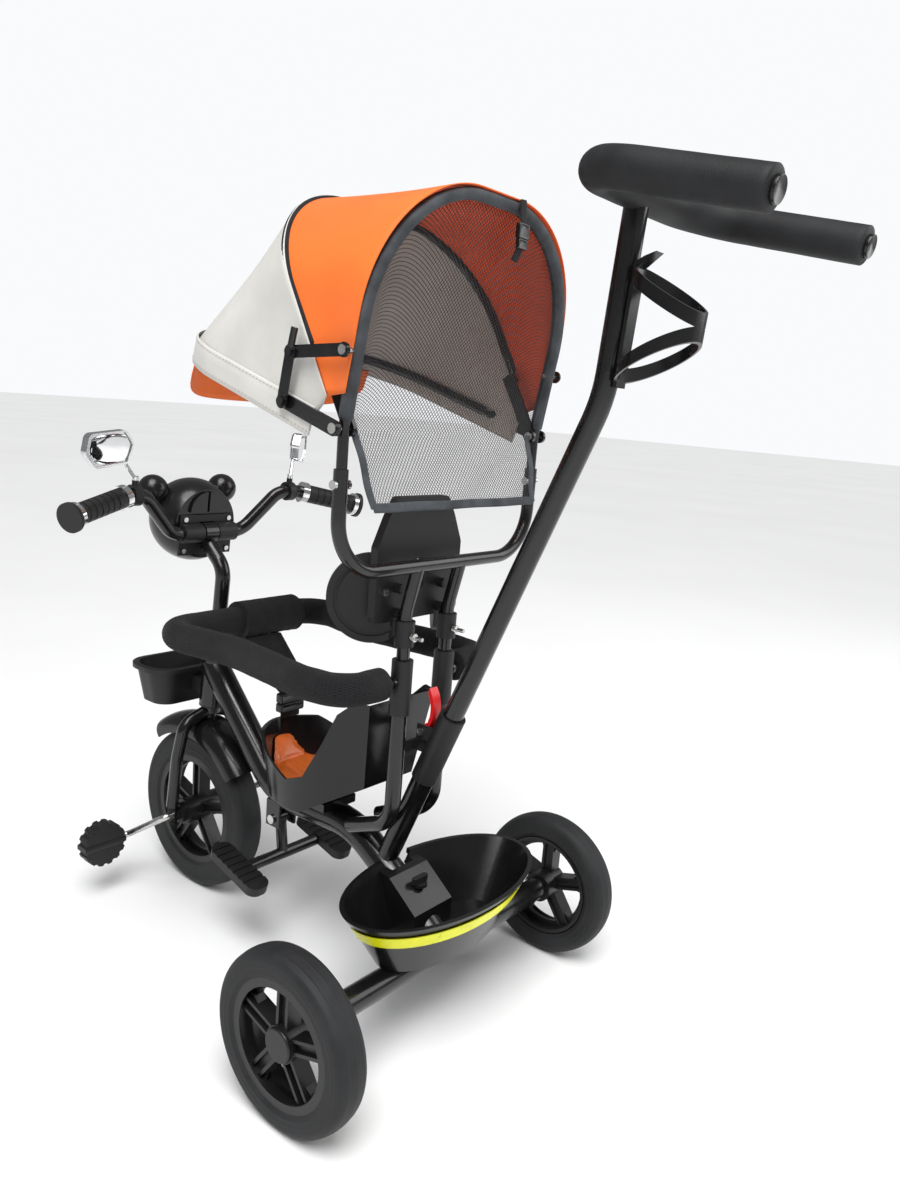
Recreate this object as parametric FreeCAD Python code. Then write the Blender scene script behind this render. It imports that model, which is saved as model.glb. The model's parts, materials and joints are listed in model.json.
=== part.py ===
"""Children's tricycle with a push pole, sun canopy, guard hoop and steered front wheel.

Millimetres. +X is the rider's left, the front faces -Y and +Z is up. Everything is designed about the
rear axle (y = 0) and is moved at export, so that the origin lies on the ground at the middle of the length.
"""
import FreeCAD
import Part
import math
import os

V = FreeCAD.Vector
X, Y, Z = V(1, 0, 0), V(0, 1, 0), V(0, 0, 1)

# ---- driving dimensions -------------------------------------------------------------------------
WHEELBASE = 491.7            # rear axle to front axle
REAR_R, REAR_W = 102.0, 41.0          # rear tyre radius and width
FRONT_R, FRONT_W = 125.0, 44.0        # front tyre radius and width
TRACK_HALF = 247.8           # middle of a rear tyre from the middle of the trike
RAKE = 5.3                   # steering axis from vertical, degrees
WALL = 1.5                   # steel tube wall
RUN = 0.05                   # radial running clearance of a pin or shaft
BUSH_RUN = 0.12              # radial running clearance of the steerer in its bushes
GAP = 0.3                    # clearance between neighbours that don't fit together

MAIN_R = 20.5                # main tube
AXLE_TUBE_R = 16.0           # rear cross tube
AXLE_R = 5.0                 # wheel axle rods
HEAD_LOW, HEAD_HIGH = 175.0, 275.0    # head tube, measured along the steering axis from the front axle
HEAD_R, STEERER_R = 19.0, 11.0

POST_X, POST_Y = 39.0, -61.0          # the pair of seat posts
POST_R, UPPER_POST_R, COLLAR_R = 10.0, 8.0, 12.0
SEAT_FLOOR_Z = 238.0         # underside of the seat shell
BACKREST_Y = -78.0           # rear face of the backrest
COLLAR_BOLT_Z = 502.0        # clamp bolts through the upper collars

POLE_LEAN, POLE_TOP_LEAN = 22.4, 3.95  # push pole from vertical, below and above its bend
POLE_FOOT = V(0, -95, 197)   # push pole's axis at the main tube
POLE_BEND_S = 644.7          # foot to bend, along the pole
POLE_TOP_S = 196.0           # bend to handle, along the pole
POLE_R, SLEEVE_R = 12.5, 16.5
STUB_END_S, SLEEVE_END_S = 129.0, 227.0
HANDLE_HALF, HANDLE_Y, HANDLE_END_Y = 120.0, 165.0, 352.0
HANDLE_Z, HANDLE_END_Z = 989.0, 952.0
HANDLE_R, HANDLE_FOAM_R, HANDLE_BEND_R = 11.0, 18.5, 60.0

CANOPY_PIVOT = V(0, -47, 741)
CANOPY_HALF = 174.0          # folding bows
REAR_HALF, REAR_REACH, REAR_BEND_R = 171.5, 253.5, 148.0         # fixed rear bow
BOW_R, REAR_BOW_R = 4.0, 6.0
REAR_ANGLE, MID_ANGLE, FRONT_ANGLE = -9.2, 30.0, 73.0            # bow planes forward of vertical
MID_REACH, REACH_GROWTH = 286.0, 0.72  # middle bow's reach, and how it grows with each degree forward
MID_BEND_R, BEND_SHRINK = 125.0, 0.4   # middle bow's corner radius, and how it shrinks
HEM_DROP, BRIM_DROP = 4.0, 15.0        # front panel's hem and the brim, degrees below the front bow
CANOPY_BAR_Z = 588.0         # bottom bar of the canopy frame
FRAME_HALF, FRAME_TUBE_R = 172.0, 8.0
BOW_LEG = 80.0               # where a folding bow's flat leg joins its rod
FABRIC_LEG = 92.0            # where the fabric starts above the pivot
FABRIC_T = 1.5

GUARD_Z = 445.0
GUARD_TUBE_R, GUARD_FOAM_R, GUARD_WRAP_R = 8.0, 20.0, 27.0
GUARD_FRONT_Y, GUARD_HALF = -405.0, 140.0
WRAP_LOW_X, WRAP_LENGTH = -92.0, 104.0

CRANK, CRANK_DROP = 80.0, 34.0        # crank length and its angle below horizontal
PEDAL_IN, PEDAL_OUT = 99.0, 167.0
CRANK_IN, CRANK_OUT = 68.5, 89.5      # where each crank leaves the axle and where it turns out to its pedal
FOOT_PIVOT = V(0, -308, 172)
PAD_TILT = 16.0              # foot pads' front ends up
BASKET_A, BASKET_B, BASKET_Y, BASKET_RIM_Z = 155.0, 81.0, -5.0, 196.0
BASKET_FLOOR_A, BASKET_FLOOR_B = 104.0, 50.0
BASKET_WALL = 3.0
TRAY_Y, TRAY_RIM_Z, TRAY_DEPTH = -543.0, 354.0, 58.0
TRAY_HALF_X, TRAY_HALF_Y = 76.0, 42.0
FENDER_R, FENDER_FRONT, FENDER_REAR = 153.0, 41.0, 46.0

FRONT_AXLE = V(0, -WHEELBASE, FRONT_R)
FRONT_END_Y = -WHEELBASE - (FENDER_R + 1.2) * math.sin(math.radians(FENDER_FRONT + RAKE))
ORIGIN_Y = 0.5 * (FRONT_END_Y + HANDLE_END_Y + 2.0)
PARTS = {}
BOLTS = []                   # fasteners of the frame, which share one node


# ---- small helpers ------------------------------------------------------------------------------
def cyl(start, direction, radius, length):
    """A round bar from start along direction."""
    return Part.makeCylinder(radius, length, start, direction)


def rod(start, end, radius):
    """A round bar between two points."""
    return cyl(start, end - start, radius, (end - start).Length)


def ring(start, direction, outer, inner, length):
    """A round sleeve."""
    return cyl(start, direction, outer, length).cut(cyl(start, direction, inner, length))


def block(low, high):
    """A box between two corners."""
    size = high - low
    return Part.makeBox(size.x, size.y, size.z, low)


def fuse(*shapes):
    """One solid from several that touch or overlap."""
    return shapes[0].fuse(list(shapes[1:])).removeSplitter()


def mirrored(shape):
    """The same piece on the other side of the trike."""
    return shape.mirror(V(0, 0, 0), X)


def both(shape):
    """A left and right pair as one group of solids."""
    return group(shape, mirrored(shape))


def group(*shapes):
    """Separate solids that share a node."""
    solids = []
    for shape in shapes:
        solids.extend(shape.Solids)
    return Part.makeCompound(solids)


def turned(shape, centre, axis, degrees):
    """A turned copy."""
    copy = shape.copy()
    copy.rotate(centre, axis, degrees)
    return copy


def route(points, radii):
    """Straight runs joined by tangent arcs, one radius for each inner point."""
    edges = []
    last = points[0]
    for index in range(1, len(points) - 1):
        before, here, after = points[index - 1], points[index], points[index + 1]
        way_in = (here - before).normalize()
        way_out = (after - here).normalize()
        half = way_in.getAngle(way_out) / 2
        radius = radii[index - 1]
        cut_back = radius * math.tan(half)
        start, end = here - way_in * cut_back, here + way_out * cut_back
        centre = here + (way_out - way_in).normalize() * (radius / math.cos(half))
        middle = centre + (here - centre).normalize() * radius
        if (start - last).Length > 1e-6:
            edges.append(Part.LineSegment(last, start).toShape())
        edges.append(Part.Arc(start, middle, end).toShape())
        last = end
    edges.append(Part.LineSegment(last, points[-1]).toShape())
    return Part.Wire(edges)


def pipe(points, radii, radius, inner=0.0):
    """A tube, hollow if inner is given, along a route."""
    path = route(points, radii) if len(points) > 2 else Part.Wire([Part.LineSegment(*points).toShape()])
    direction = (points[1] - points[0]).normalize()

    def swept(size):
        section = Part.Wire([Part.Circle(points[0], direction, size).toShape()])
        return path.makePipeShell([section], True, False)

    tube = swept(radius)
    return tube.cut(swept(inner)) if inner else tube


def prism(outline, direction):
    """A solid from a closed list of points pushed along direction."""
    return Part.Face(Part.makePolygon(outline + [outline[0]])).extrude(direction)


def side_prism(outline, low_x, high_x):
    """A solid from (y, z) points between two x planes."""
    return prism([V(low_x, y, z) for y, z in outline], V(high_x - low_x, 0, 0))


def rounded_plate(half_x, half_y, corner, thickness, centre):
    """A flat plate with round corners, its underside at centre."""
    plate = block(centre - V(half_x, half_y, 0), centre + V(half_x, half_y, thickness))
    upright = [edge for edge in plate.Edges if abs(edge.tangentAt(edge.FirstParameter).z) > 0.99]
    return plate.makeFillet(corner, upright)


def steered(shape):
    """From the steering frame (origin on the front axle, +Z up the steering axis) to the trike."""
    copy = turned(shape, V(0, 0, 0), X, -RAKE)
    copy.translate(FRONT_AXLE)
    return copy


def pole_point(along, back=0.0, x=0.0):
    """A point near the lower push pole: a distance along its axis, and behind it."""
    lean = math.radians(POLE_LEAN)
    axis = V(0, math.sin(lean), math.cos(lean))
    rear = V(0, math.cos(lean), -math.sin(lean))
    return POLE_FOOT + axis * along + rear * back + V(x, 0, 0)


POLE_AXIS = (pole_point(1.0) - pole_point(0.0)).normalize()
POLE_BEND = pole_point(POLE_BEND_S)
POLE_TOP_AXIS = V(0, math.sin(math.radians(POLE_TOP_LEAN)), math.cos(math.radians(POLE_TOP_LEAN)))


def bow_point(radius, angle, x=0.0):
    """A point at a radius from the canopy pivot, in a plane leaning forward by angle."""
    lean = math.radians(angle)
    return CANOPY_PIVOT + V(x, -radius * math.sin(lean), radius * math.cos(lean))


def add(name, shape):
    """Keep one named sub-part."""
    PARTS[name] = shape.Solids[0] if len(shape.Solids) == 1 else shape


# ---- frame --------------------------------------------------------------------------------------
def main_route():
    """Main tube's centre line, from the head tube back to the rear axle."""
    return [V(0, -474, 364), V(0, -316, 206), V(0, -160, 213), V(0, -92, 172), V(0, 0, REAR_R + 2)]


def main_tube(radius):
    """Main tube as a solid bar of a given radius."""
    return pipe(main_route(), [95, 110, 150], radius)


def steer_bar(low, high, radius):
    """A bar on the steering axis, in the trike's frame."""
    return steered(cyl(V(0, 0, low), Z, radius, high - low))


def build_frame():
    """Welded frame: main tube, head tube, rear cross tube, pole stub, seat plate and footrest ears."""
    half = TRACK_HALF - REAR_W / 2 - 9.0
    shell = main_tube(MAIN_R)
    cross = cyl(V(-half, 0, REAR_R), X, AXLE_TUBE_R, 2 * half)
    head = steer_bar(HEAD_LOW, HEAD_HIGH, HEAD_R)
    stub = rod(pole_point(-4), pole_point(STUB_END_S), 14.3)
    plate = block(V(-30, -300, SEAT_FLOOR_Z - 12), V(30, -190, SEAT_FLOOR_Z - GAP))
    ears = []
    for x in (-16.0, 12.0):
        ears.append(block(V(x, FOOT_PIVOT.y - 13, FOOT_PIVOT.z - 11), V(x + 4, FOOT_PIVOT.y + 15, 200)))
    frame = fuse(shell, cross, head, stub, plate, *ears)
    frame = frame.cut(main_tube(MAIN_R - WALL))
    bore = half - 12
    hollow = cyl(V(-bore, 0, REAR_R), X, AXLE_TUBE_R - 2, 2 * bore)
    frame = frame.cut([hollow, steer_bar(HEAD_LOW - 1, HEAD_HIGH + 1, HEAD_R - 3)])
    frame = frame.cut([cyl(V(-half - 1, 0, REAR_R), X, AXLE_R + RUN, 2 * half + 2),
                       rod(pole_point(20), pole_point(STUB_END_S + 1), POLE_R + GAP),
                       cyl(FOOT_PIVOT - X * 20, X, 4.0 + RUN, 40)])
    add("main_frame", largest(frame))

    low = ring(V(0, 0, HEAD_LOW), Z, HEAD_R - 3 - RUN, STEERER_R + BUSH_RUN, 12)
    low = fuse(low, ring(V(0, 0, HEAD_LOW - 2.5), Z, HEAD_R, STEERER_R + BUSH_RUN, 2.5))
    high = ring(V(0, 0, HEAD_HIGH - 12), Z, HEAD_R - 3 - RUN, STEERER_R + BUSH_RUN, 12)
    high = fuse(high, ring(V(0, 0, HEAD_HIGH), Z, HEAD_R, STEERER_R + BUSH_RUN, 2.5))
    add("head_bushes", group(steered(low), steered(high)))


def largest(shape):
    """The biggest solid of a cut, without loose slivers."""
    return max(shape.Solids, key=lambda solid: solid.Volume)


def build_posts():
    """Two lower posts that bend in to the main tube, their sleeves, and the collars higher up."""
    top = V(POST_X, POST_Y, 440)
    points = [top, V(POST_X, POST_Y, 262), V(26, -142, 226)]
    post = pipe(points, [42], POST_R, UPPER_POST_R + GAP)
    post = post.cut(main_tube(MAIN_R))
    add("seat_posts", both(largest(post)))
    socket = fuse(ring(V(POST_X, POST_Y, 404), Z, 13.0, POST_R + RUN, 36),
                  ring(V(POST_X, POST_Y, 440), Z, 13.0, UPPER_POST_R + GAP, 32))
    pin = cyl(V(POST_X + 12, POST_Y, GUARD_Z), X, 3.0, 8)
    head = cyl(V(POST_X + 18.3, POST_Y, GUARD_Z), X, 5.5, 3)
    collar = ring(V(POST_X, POST_Y, 489), Z, COLLAR_R, UPPER_POST_R + RUN, 31)
    add("post_sleeves", group(both(fuse(socket, pin, head)), both(collar)))


def canopy_leg(side):
    """Centre line of a canopy frame leg, from inside its post up to the bottom bar."""
    return [V(side * POST_X, POST_Y, 400), V(side * POST_X, POST_Y, 530),
            V(side * POST_X, CANOPY_PIVOT.y, CANOPY_BAR_Z)]


def build_canopy_frame():
    """U-shaped tube over the backrest with two legs down into the posts."""
    top_z, bar = 700.0, CANOPY_BAR_Z
    y = CANOPY_PIVOT.y
    corner = [V(FRAME_HALF, y, top_z), V(FRAME_HALF, y, bar), V(-FRAME_HALF, y, bar), V(-FRAME_HALF, y, top_z)]
    hoop = pipe(corner, [60, 60], FRAME_TUBE_R)
    legs = []
    for side in (1, -1):
        legs.append(pipe(canopy_leg(side), [70], UPPER_POST_R))
    frame = fuse(hoop, *legs)
    frame = frame.cut(pipe(corner, [60, 60], FRAME_TUBE_R - WALL))
    holes = [cyl(V(side * FRAME_HALF - 12, y, 684), X, 2.5 + RUN, 24) for side in (1, -1)]
    add("canopy_frame", largest(frame.cut(holes)))


# ---- canopy -------------------------------------------------------------------------------------
def bow_route(half, reach, angle, start):
    """Arch outline of a bow in its own leaning plane."""
    return [bow_point(start, angle, half), bow_point(reach, angle, half),
            bow_point(reach, angle, -half), bow_point(start, angle, -half)]


def arch(angle, start, lift=0.0):
    """Centre line of the canopy's arch at an angle, or an outline lifted outside it."""
    forward = angle - MID_ANGLE
    reach = MID_REACH + REACH_GROWTH * forward + lift
    bend = MID_BEND_R - BEND_SHRINK * forward + lift
    return bow_route(CANOPY_HALF + lift, reach, angle, start), [bend, bend]


def fabric(first, last, lift, half_limit=None):
    """A stretched panel between two angles, lift outside the bows' centre line."""
    sections = []
    steps = 12
    for step in range(steps + 1):
        angle = first + (last - first) * step / steps
        inner, outer = (route(*arch(angle, FABRIC_LEG, extra)) for extra in (lift, lift + FABRIC_T))
        ends = [Part.LineSegment(inner.Vertexes[end].Point, outer.Vertexes[end].Point).toShape() for end in (0, -1)]
        sections.append(Part.Wire(Part.__sortEdges__(inner.Edges + outer.Edges + ends)))
    panel = Part.makeLoft(sections, True, True)
    if half_limit:
        panel = panel.common(block(V(-half_limit, -700, 300), V(half_limit, 300, 1300)))
    return largest(panel)


def flat_leg(inner_x, outer_x, angle, length):
    """A flat bar from the pivot outwards along a bow's plane, with its pivot hole."""
    bar = block(CANOPY_PIVOT + V(inner_x, -8, 0), CANOPY_PIVOT + V(outer_x, 8, length))
    bar = fuse(bar, cyl(CANOPY_PIVOT + X * inner_x, X, 8, outer_x - inner_x))
    bar = bar.cut(cyl(CANOPY_PIVOT + X * (inner_x - 1), X, 3.0 + RUN, outer_x - inner_x + 2))
    return turned(bar, CANOPY_PIVOT, X, angle)


def folding_bow(angle, inner_x, outer_x):
    """Arch rod with its two flat legs, which pass beside the fixed bow."""
    rods = pipe(*arch(angle, BOW_LEG), BOW_R)
    pieces = [rods]
    for side in (1, -1):
        leg = flat_leg(inner_x, outer_x, angle, BOW_LEG + 6)
        knuckle_low, knuckle_high = sorted((CANOPY_HALF, 0.5 * (inner_x + outer_x)))
        knuckle = cyl(bow_point(BOW_LEG, angle, knuckle_low), X, 5.0, knuckle_high - knuckle_low)
        ball = Part.makeSphere(5.0, bow_point(BOW_LEG, angle, CANOPY_HALF))
        piece = fuse(leg, knuckle, ball)
        pieces.append(piece if side > 0 else mirrored(piece))
    return fuse(*pieces)


STAY_A_R, STAY_B_R = 78.0, 76.0       # stay rivets from the pivot, on the rear and the front bow
STAY_A = bow_point(STAY_A_R, REAR_ANGLE)
STAY_B = bow_point(STAY_B_R, FRONT_ANGLE)
STAY_K = V(0, -110, 814)              # the knee between the two links
STAY_REAR_X, STAY_FRONT_X, STAY_T = 188.0, 191.0, 2.5


def link(start, end, x, width):
    """A flat link with round ends and a hole at its start."""
    span = end - start
    bar = block(V(0, -width / 2, 0), V(STAY_T, width / 2, span.Length))
    lean = math.degrees(math.atan2(-span.y, span.z))
    bar = turned(bar, V(0, 0, 0), X, lean)
    bar.translate(V(x, start.y, start.z))
    ends = [cyl(V(x, point.y, point.z), X, width / 2 + 1, STAY_T) for point in (start, end)]
    hole = cyl(V(x - 1, start.y, start.z), X, 3.0 + RUN, STAY_T + 2)
    return fuse(bar, *ends).cut(hole)


def build_canopy():
    """Fixed rear bow, two folding bows, fabric panels, brim, mesh curtain and the side stays."""
    y = CANOPY_PIVOT.y
    points = [V(REAR_HALF, y, 655)] + bow_route(REAR_HALF, REAR_REACH, REAR_ANGLE, 0.0) + [V(-REAR_HALF, y, 655)]
    rear = pipe(points, [90, REAR_BEND_R, REAR_BEND_R, 90], REAR_BOW_R)
    holes = []
    for side in (1, -1):
        for centre in (CANOPY_PIVOT, V(0, y, 684), STAY_A):
            holes.append(cyl(V(side * REAR_HALF - 10, centre.y, centre.z), X, 3.0 + RUN, 20))
    add("rear_bow", largest(rear.cut(holes)))
    add("mid_bow", folding_bow(MID_ANGLE, 160.0, 165.0))
    rivet_b = [cyl(V(187, STAY_B.y, STAY_B.z), X, 3.0, 8), cyl(V(194, STAY_B.y, STAY_B.z), X, 5.0, 2)]
    front = folding_bow(FRONT_ANGLE, 183.0, 187.0)
    add("front_bow", fuse(front, *rivet_b, *[mirrored(piece) for piece in rivet_b]))

    clear = BOW_R + GAP
    add("canopy_rear_panel", fabric(REAR_ANGLE - 1.5, MID_ANGLE + 2, clear))
    over = clear + FABRIC_T + GAP
    add("canopy_front_panel", fabric(MID_ANGLE + 1, FRONT_ANGLE + HEM_DROP, over))
    add("canopy_brim", fabric(FRONT_ANGLE + HEM_DROP + 0.1, FRONT_ANGLE + BRIM_DROP, over, 152.0))

    pivot_pin = cyl(V(158, y, CANOPY_PIVOT.z), X, 3.0, 31)
    heads = [cyl(V(x, y, CANOPY_PIVOT.z), X, 5.5, 1.8) for x in (157.9, 187.3)]
    pivot_pin = fuse(pivot_pin, *heads)
    stay_pin = cyl(V(164, STAY_A.y, STAY_A.z), X, 3.0, 28)
    stay_pin = fuse(stay_pin, cyl(V(191, STAY_A.y, STAY_A.z), X, 5.0, 2))
    bolt = cyl(V(162, y, 684), X, 2.5, 21)
    bolt = fuse(bolt, cyl(V(180.2, y, 684), X, 5.0, 3.5), cyl(V(160, y, 684), X, 5.0, 3.5))
    BOLTS.extend(both(piece) for piece in (pivot_pin, stay_pin, bolt))

    rear_link = link(STAY_A, STAY_K, STAY_REAR_X, 13)
    front_link = link(STAY_B, STAY_K, STAY_FRONT_X, 13)
    tip = V(0, STAY_K.y + 6, STAY_K.z + 24)
    horn = fuse(rod(V(STAY_FRONT_X + 1.25, STAY_K.y, STAY_K.z), V(STAY_FRONT_X + 1.25, tip.y, tip.z), 4.0),
                cyl(V(STAY_FRONT_X + 2, STAY_K.y, STAY_K.z), X, 5.0, 3))
    horn = horn.common(block(V(STAY_FRONT_X, -400, 600), V(STAY_FRONT_X + 6, 0, 1000)))
    add("stay_rear_links", both(rear_link))
    add("stay_front_links", both(largest(fuse(front_link, horn))))

    half, reach = 157.3, REAR_REACH - REAR_BOW_R - GAP
    arch_wire = route(bow_route(half, reach, REAR_ANGLE, 0.0), [REAR_BEND_R - 12] * 2)
    closing = Part.LineSegment(arch_wire.Vertexes[-1].Point, arch_wire.Vertexes[0].Point).toShape()
    face = Part.Face(Part.Wire(Part.__sortEdges__(arch_wire.Edges + [closing])))
    sheet = face.extrude(bow_point(1.0, REAR_ANGLE - 90) - CANOPY_PIVOT)
    hem = [V(half, y, CANOPY_PIVOT.z), V(-half, y, CANOPY_PIVOT.z), V(-146, -22, 660), V(146, -22, 660)]
    lower = prism(hem, V(0, 1.2, 0.2))
    add("mesh_curtain", fuse(sheet, lower))


# ---- seat ---------------------------------------------------------------------------------------
def seat_plan(inset, z):
    """Plan outline of the seat bucket at a height, inset from its outer face."""
    rear, front = -88.0 - inset, -338.0 + inset
    side = [(62 - inset, rear), (70 - inset, rear - 22), (94 - inset, -190), (86 - inset, -262),
            (48 - inset, front + 12)]
    points = [V(x, y, z) for x, y in side]
    points += [V(0, front, z)]
    points += [V(-x, y, z) for x, y in reversed(side)]
    curve = Part.BSplineCurve()
    curve.interpolate(points, PeriodicFlag=False)
    closing = Part.LineSegment(points[-1], points[0])
    return Part.Wire([curve.toShape(), closing.toShape()])


def seat_body(inset, low_inset):
    """The bucket's solid, narrower at its foot."""
    return Part.makeLoft([seat_plan(inset + low_inset, 226.0), seat_plan(inset, 420.0)], True, False)


def seat_profile(lift, top):
    """Side profile above the seat's floor line, up to a top outline."""
    floor = [(-60, 318 + lift), (-84, 306 + lift), (-196, SEAT_FLOOR_Z + lift), (-360, SEAT_FLOOR_Z + lift)]
    return side_prism(floor + top, -150, 150)


def build_seat():
    """Bucket seat with leg dips and a front pommel, and its cushion."""
    rim = [(-360, 318), (-296, 318), (-262, 300), (-216, 280), (-186, 292), (-158, 340), (-132, 390),
           (-110, 409), (-60, 409)]
    shell = seat_body(0.0, 26.0).common(seat_profile(0.0, rim))
    space = seat_body(4.0, 26.0).common(seat_profile(5.0, [(-360, 440), (-60, 440)]))
    add("seat_shell", largest(shell.cut(space)))
    padding = [(-360, 300), (-310, 300), (-290, 268), (-230, 254), (-190, 258), (-100, 318), (-96, 380), (-60, 380)]
    pad = seat_body(4.0 + 3 * GAP, 26.0).common(seat_profile(5.0 + GAP, padding))
    add("seat_cushion", largest(pad))


def build_backrest():
    """Moulded back panel with two round side wings that lean forward, on four bosses."""
    back = BACKREST_Y
    outline = [V(-76, back, 516), V(76, back, 516), V(76, back, 606), V(60, back, 640), V(46, back, 664),
               V(-46, back, 664), V(-60, back, 640), V(-76, back, 606)]
    panel = prism(outline, V(0, -11, 0))
    upright = [edge for edge in panel.Edges if abs(edge.tangentAt(edge.FirstParameter).y) > 0.99]
    panel = panel.makeFillet(9, upright)
    slot = fuse(block(V(-9, back - 12, 560), V(9, back + 1, 582)), cyl(V(0, back + 1, 560), -Y, 9, 13),
                cyl(V(0, back + 1, 582), -Y, 9, 13))
    pieces = [panel.cut(slot)]
    centre = V(64, back - 16, 543)
    facing = V(math.sin(math.radians(44)), math.cos(math.radians(44)), 0)
    wing = cyl(centre, -facing, 54, 10)
    groove = ring(centre, -facing, 46, 41, 2.5)
    wing = wing.cut(groove).cut(block(V(-20, back, 480), V(140, back + 60, 620)))
    pieces += [wing, mirrored(wing)]
    for z in (556.0, 506.0 + 20):
        boss = cyl(V(POST_X, back - 4, z), Y, 6.0, POST_Y - UPPER_POST_R + 0.4 - back + 4)
        pieces += [boss, mirrored(boss)]
    body = fuse(*pieces)
    legs = [pipe(canopy_leg(side), [70], UPPER_POST_R + GAP) for side in (1, -1)]
    add("backrest", largest(body.cut(legs)))
    shank = cyl(V(POST_X, POST_Y + COLLAR_R + RUN, COLLAR_BOLT_Z), Y, 2.5, 16)
    nut = cyl(V(POST_X, POST_Y + COLLAR_R + GAP, COLLAR_BOLT_Z), Y, 5.0, 4.5)
    wing_bolt = cyl(V(60, back + GAP, 553), Y, 4.5, 3)
    BOLTS.extend([both(fuse(shank, nut)), wing_bolt])


# ---- rear ---------------------------------------------------------------------------------------
def ellipse_wire(a, b, z):
    """A horizontal ellipse about the basket's middle."""
    return Part.Wire([Part.Ellipse(V(0, BASKET_Y, z), a, b).toShape()])


def basket_loft(inset, low_z, high_z):
    """Tapered oval tub between two heights, on the same slope whatever the heights."""
    floor_z = REAR_R + AXLE_TUBE_R + GAP

    def at(z):
        share = (z - floor_z) / (BASKET_RIM_Z - floor_z)
        a = BASKET_FLOOR_A + share * (BASKET_A - BASKET_FLOOR_A)
        b = BASKET_FLOOR_B + share * (BASKET_B - BASKET_FLOOR_B)
        return ellipse_wire(a - inset, b - inset, z)

    return Part.makeLoft([at(low_z), at(high_z)], True, True)


def build_basket():
    """Oval rear tub with a saddle over the main tube, a reflective band and a screw knob."""
    floor_z = REAR_R + AXLE_TUBE_R + GAP
    tub = basket_loft(0.0, floor_z, BASKET_RIM_Z)
    lip = basket_loft(-3.0, BASKET_RIM_Z - 5, BASKET_RIM_Z)
    tub = fuse(tub, lip).cut(basket_loft(BASKET_WALL, floor_z + BASKET_WALL, BASKET_RIM_Z + 1))
    top = [(-84, 190), (-60, 186), (-14, 152), (-14, floor_z), (-60, floor_z), (-84, 150)]
    saddle = side_prism(top, -36, 36).common(basket_loft(0.5, floor_z, BASKET_RIM_Z))
    tub = fuse(tub, saddle)
    dip = cyl(V(0, -70, BASKET_RIM_Z + 14), -Y, 30, 40)
    tub = tub.cut([main_tube(MAIN_R + 0.8), rod(pole_point(-4), pole_point(140), 15.6), dip])
    add("rear_basket", largest(tub))
    band = basket_loft(-2.5, 166, 183).cut(basket_loft(-3 * GAP, 160, 190))
    band = band.common(block(V(-200, BASKET_Y - 12, 100), V(200, 200, 300)))
    add("basket_band", largest(band))
    stem = cyl(V(0, -40, 170.2), Z, 4, 10)
    wings = fuse(stem, rounded_plate(13, 4, 3.5, 8, V(0, -40, 176)), cyl(V(0, -40, 171.8), Z, 10, 3.5))
    under = side_prism([(-84, 190.2), (-60, 186.2), (-14, 152.2), (-14, 100), (-84, 100)], -36, 36)
    add("basket_knob", wings.cut(under))


def build_pole_sleeve():
    """Clamp sleeve over the pole stub, with the tab to the posts and the ears of the lever."""
    sleeve = rod(pole_point(STUB_END_S), pole_point(SLEEVE_END_S), SLEEVE_R)
    ears = [block(V(x, -54, 370), V(x + 3, -22, 388)) for x in (-12.0, 9.0)]
    tab = block(V(-POST_X + 6, POST_Y - 3, 352), V(POST_X - 6, POST_Y + 3, 364))
    arm = block(V(-8, POST_Y, 352), V(8, -30, 364))
    body = fuse(sleeve, *ears, tab, arm)
    body = body.cut([rod(pole_point(STUB_END_S - 1), pole_point(SLEEVE_END_S + 1), POLE_R + GAP),
                     cyl(LEVER_PIVOT - X * 20, X, 3.0 + RUN, 40)])
    for side in (1, -1):
        body = body.cut(cyl(V(side * POST_X, POST_Y, 300), Z, POST_R + 0.1, 100))
    add("pole_sleeve", largest(body))
    pin = cyl(LEVER_PIVOT - X * 14, X, 3.0, 28)
    BOLTS.append(fuse(pin, cyl(LEVER_PIVOT - X * 14, X, 5, 1.8), cyl(LEVER_PIVOT + X * 12.2, X, 5, 1.8)))


LEVER_PIVOT = V(0, -47, 379)


def build_lever():
    """Red quick-release lever: a curved blade with a cam barrel."""
    barrel = cyl(LEVER_PIVOT - X * 8.7, X, 8.0, 17.4)
    centre = LEVER_PIVOT + V(0, -34, 28)
    blade = ring(centre - X * 7, X, 47.5, 42.5, 14)
    keep = side_prism([(-47, 382), (-20, 370), (-5, 440), (-40, 446), (-52, 392)], -8, 8)
    blade = blade.common(keep)
    add("quick_release_lever", largest(fuse(barrel, blade).cut(cyl(LEVER_PIVOT - X * 10, X, 3.0 + RUN, 20))))


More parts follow.
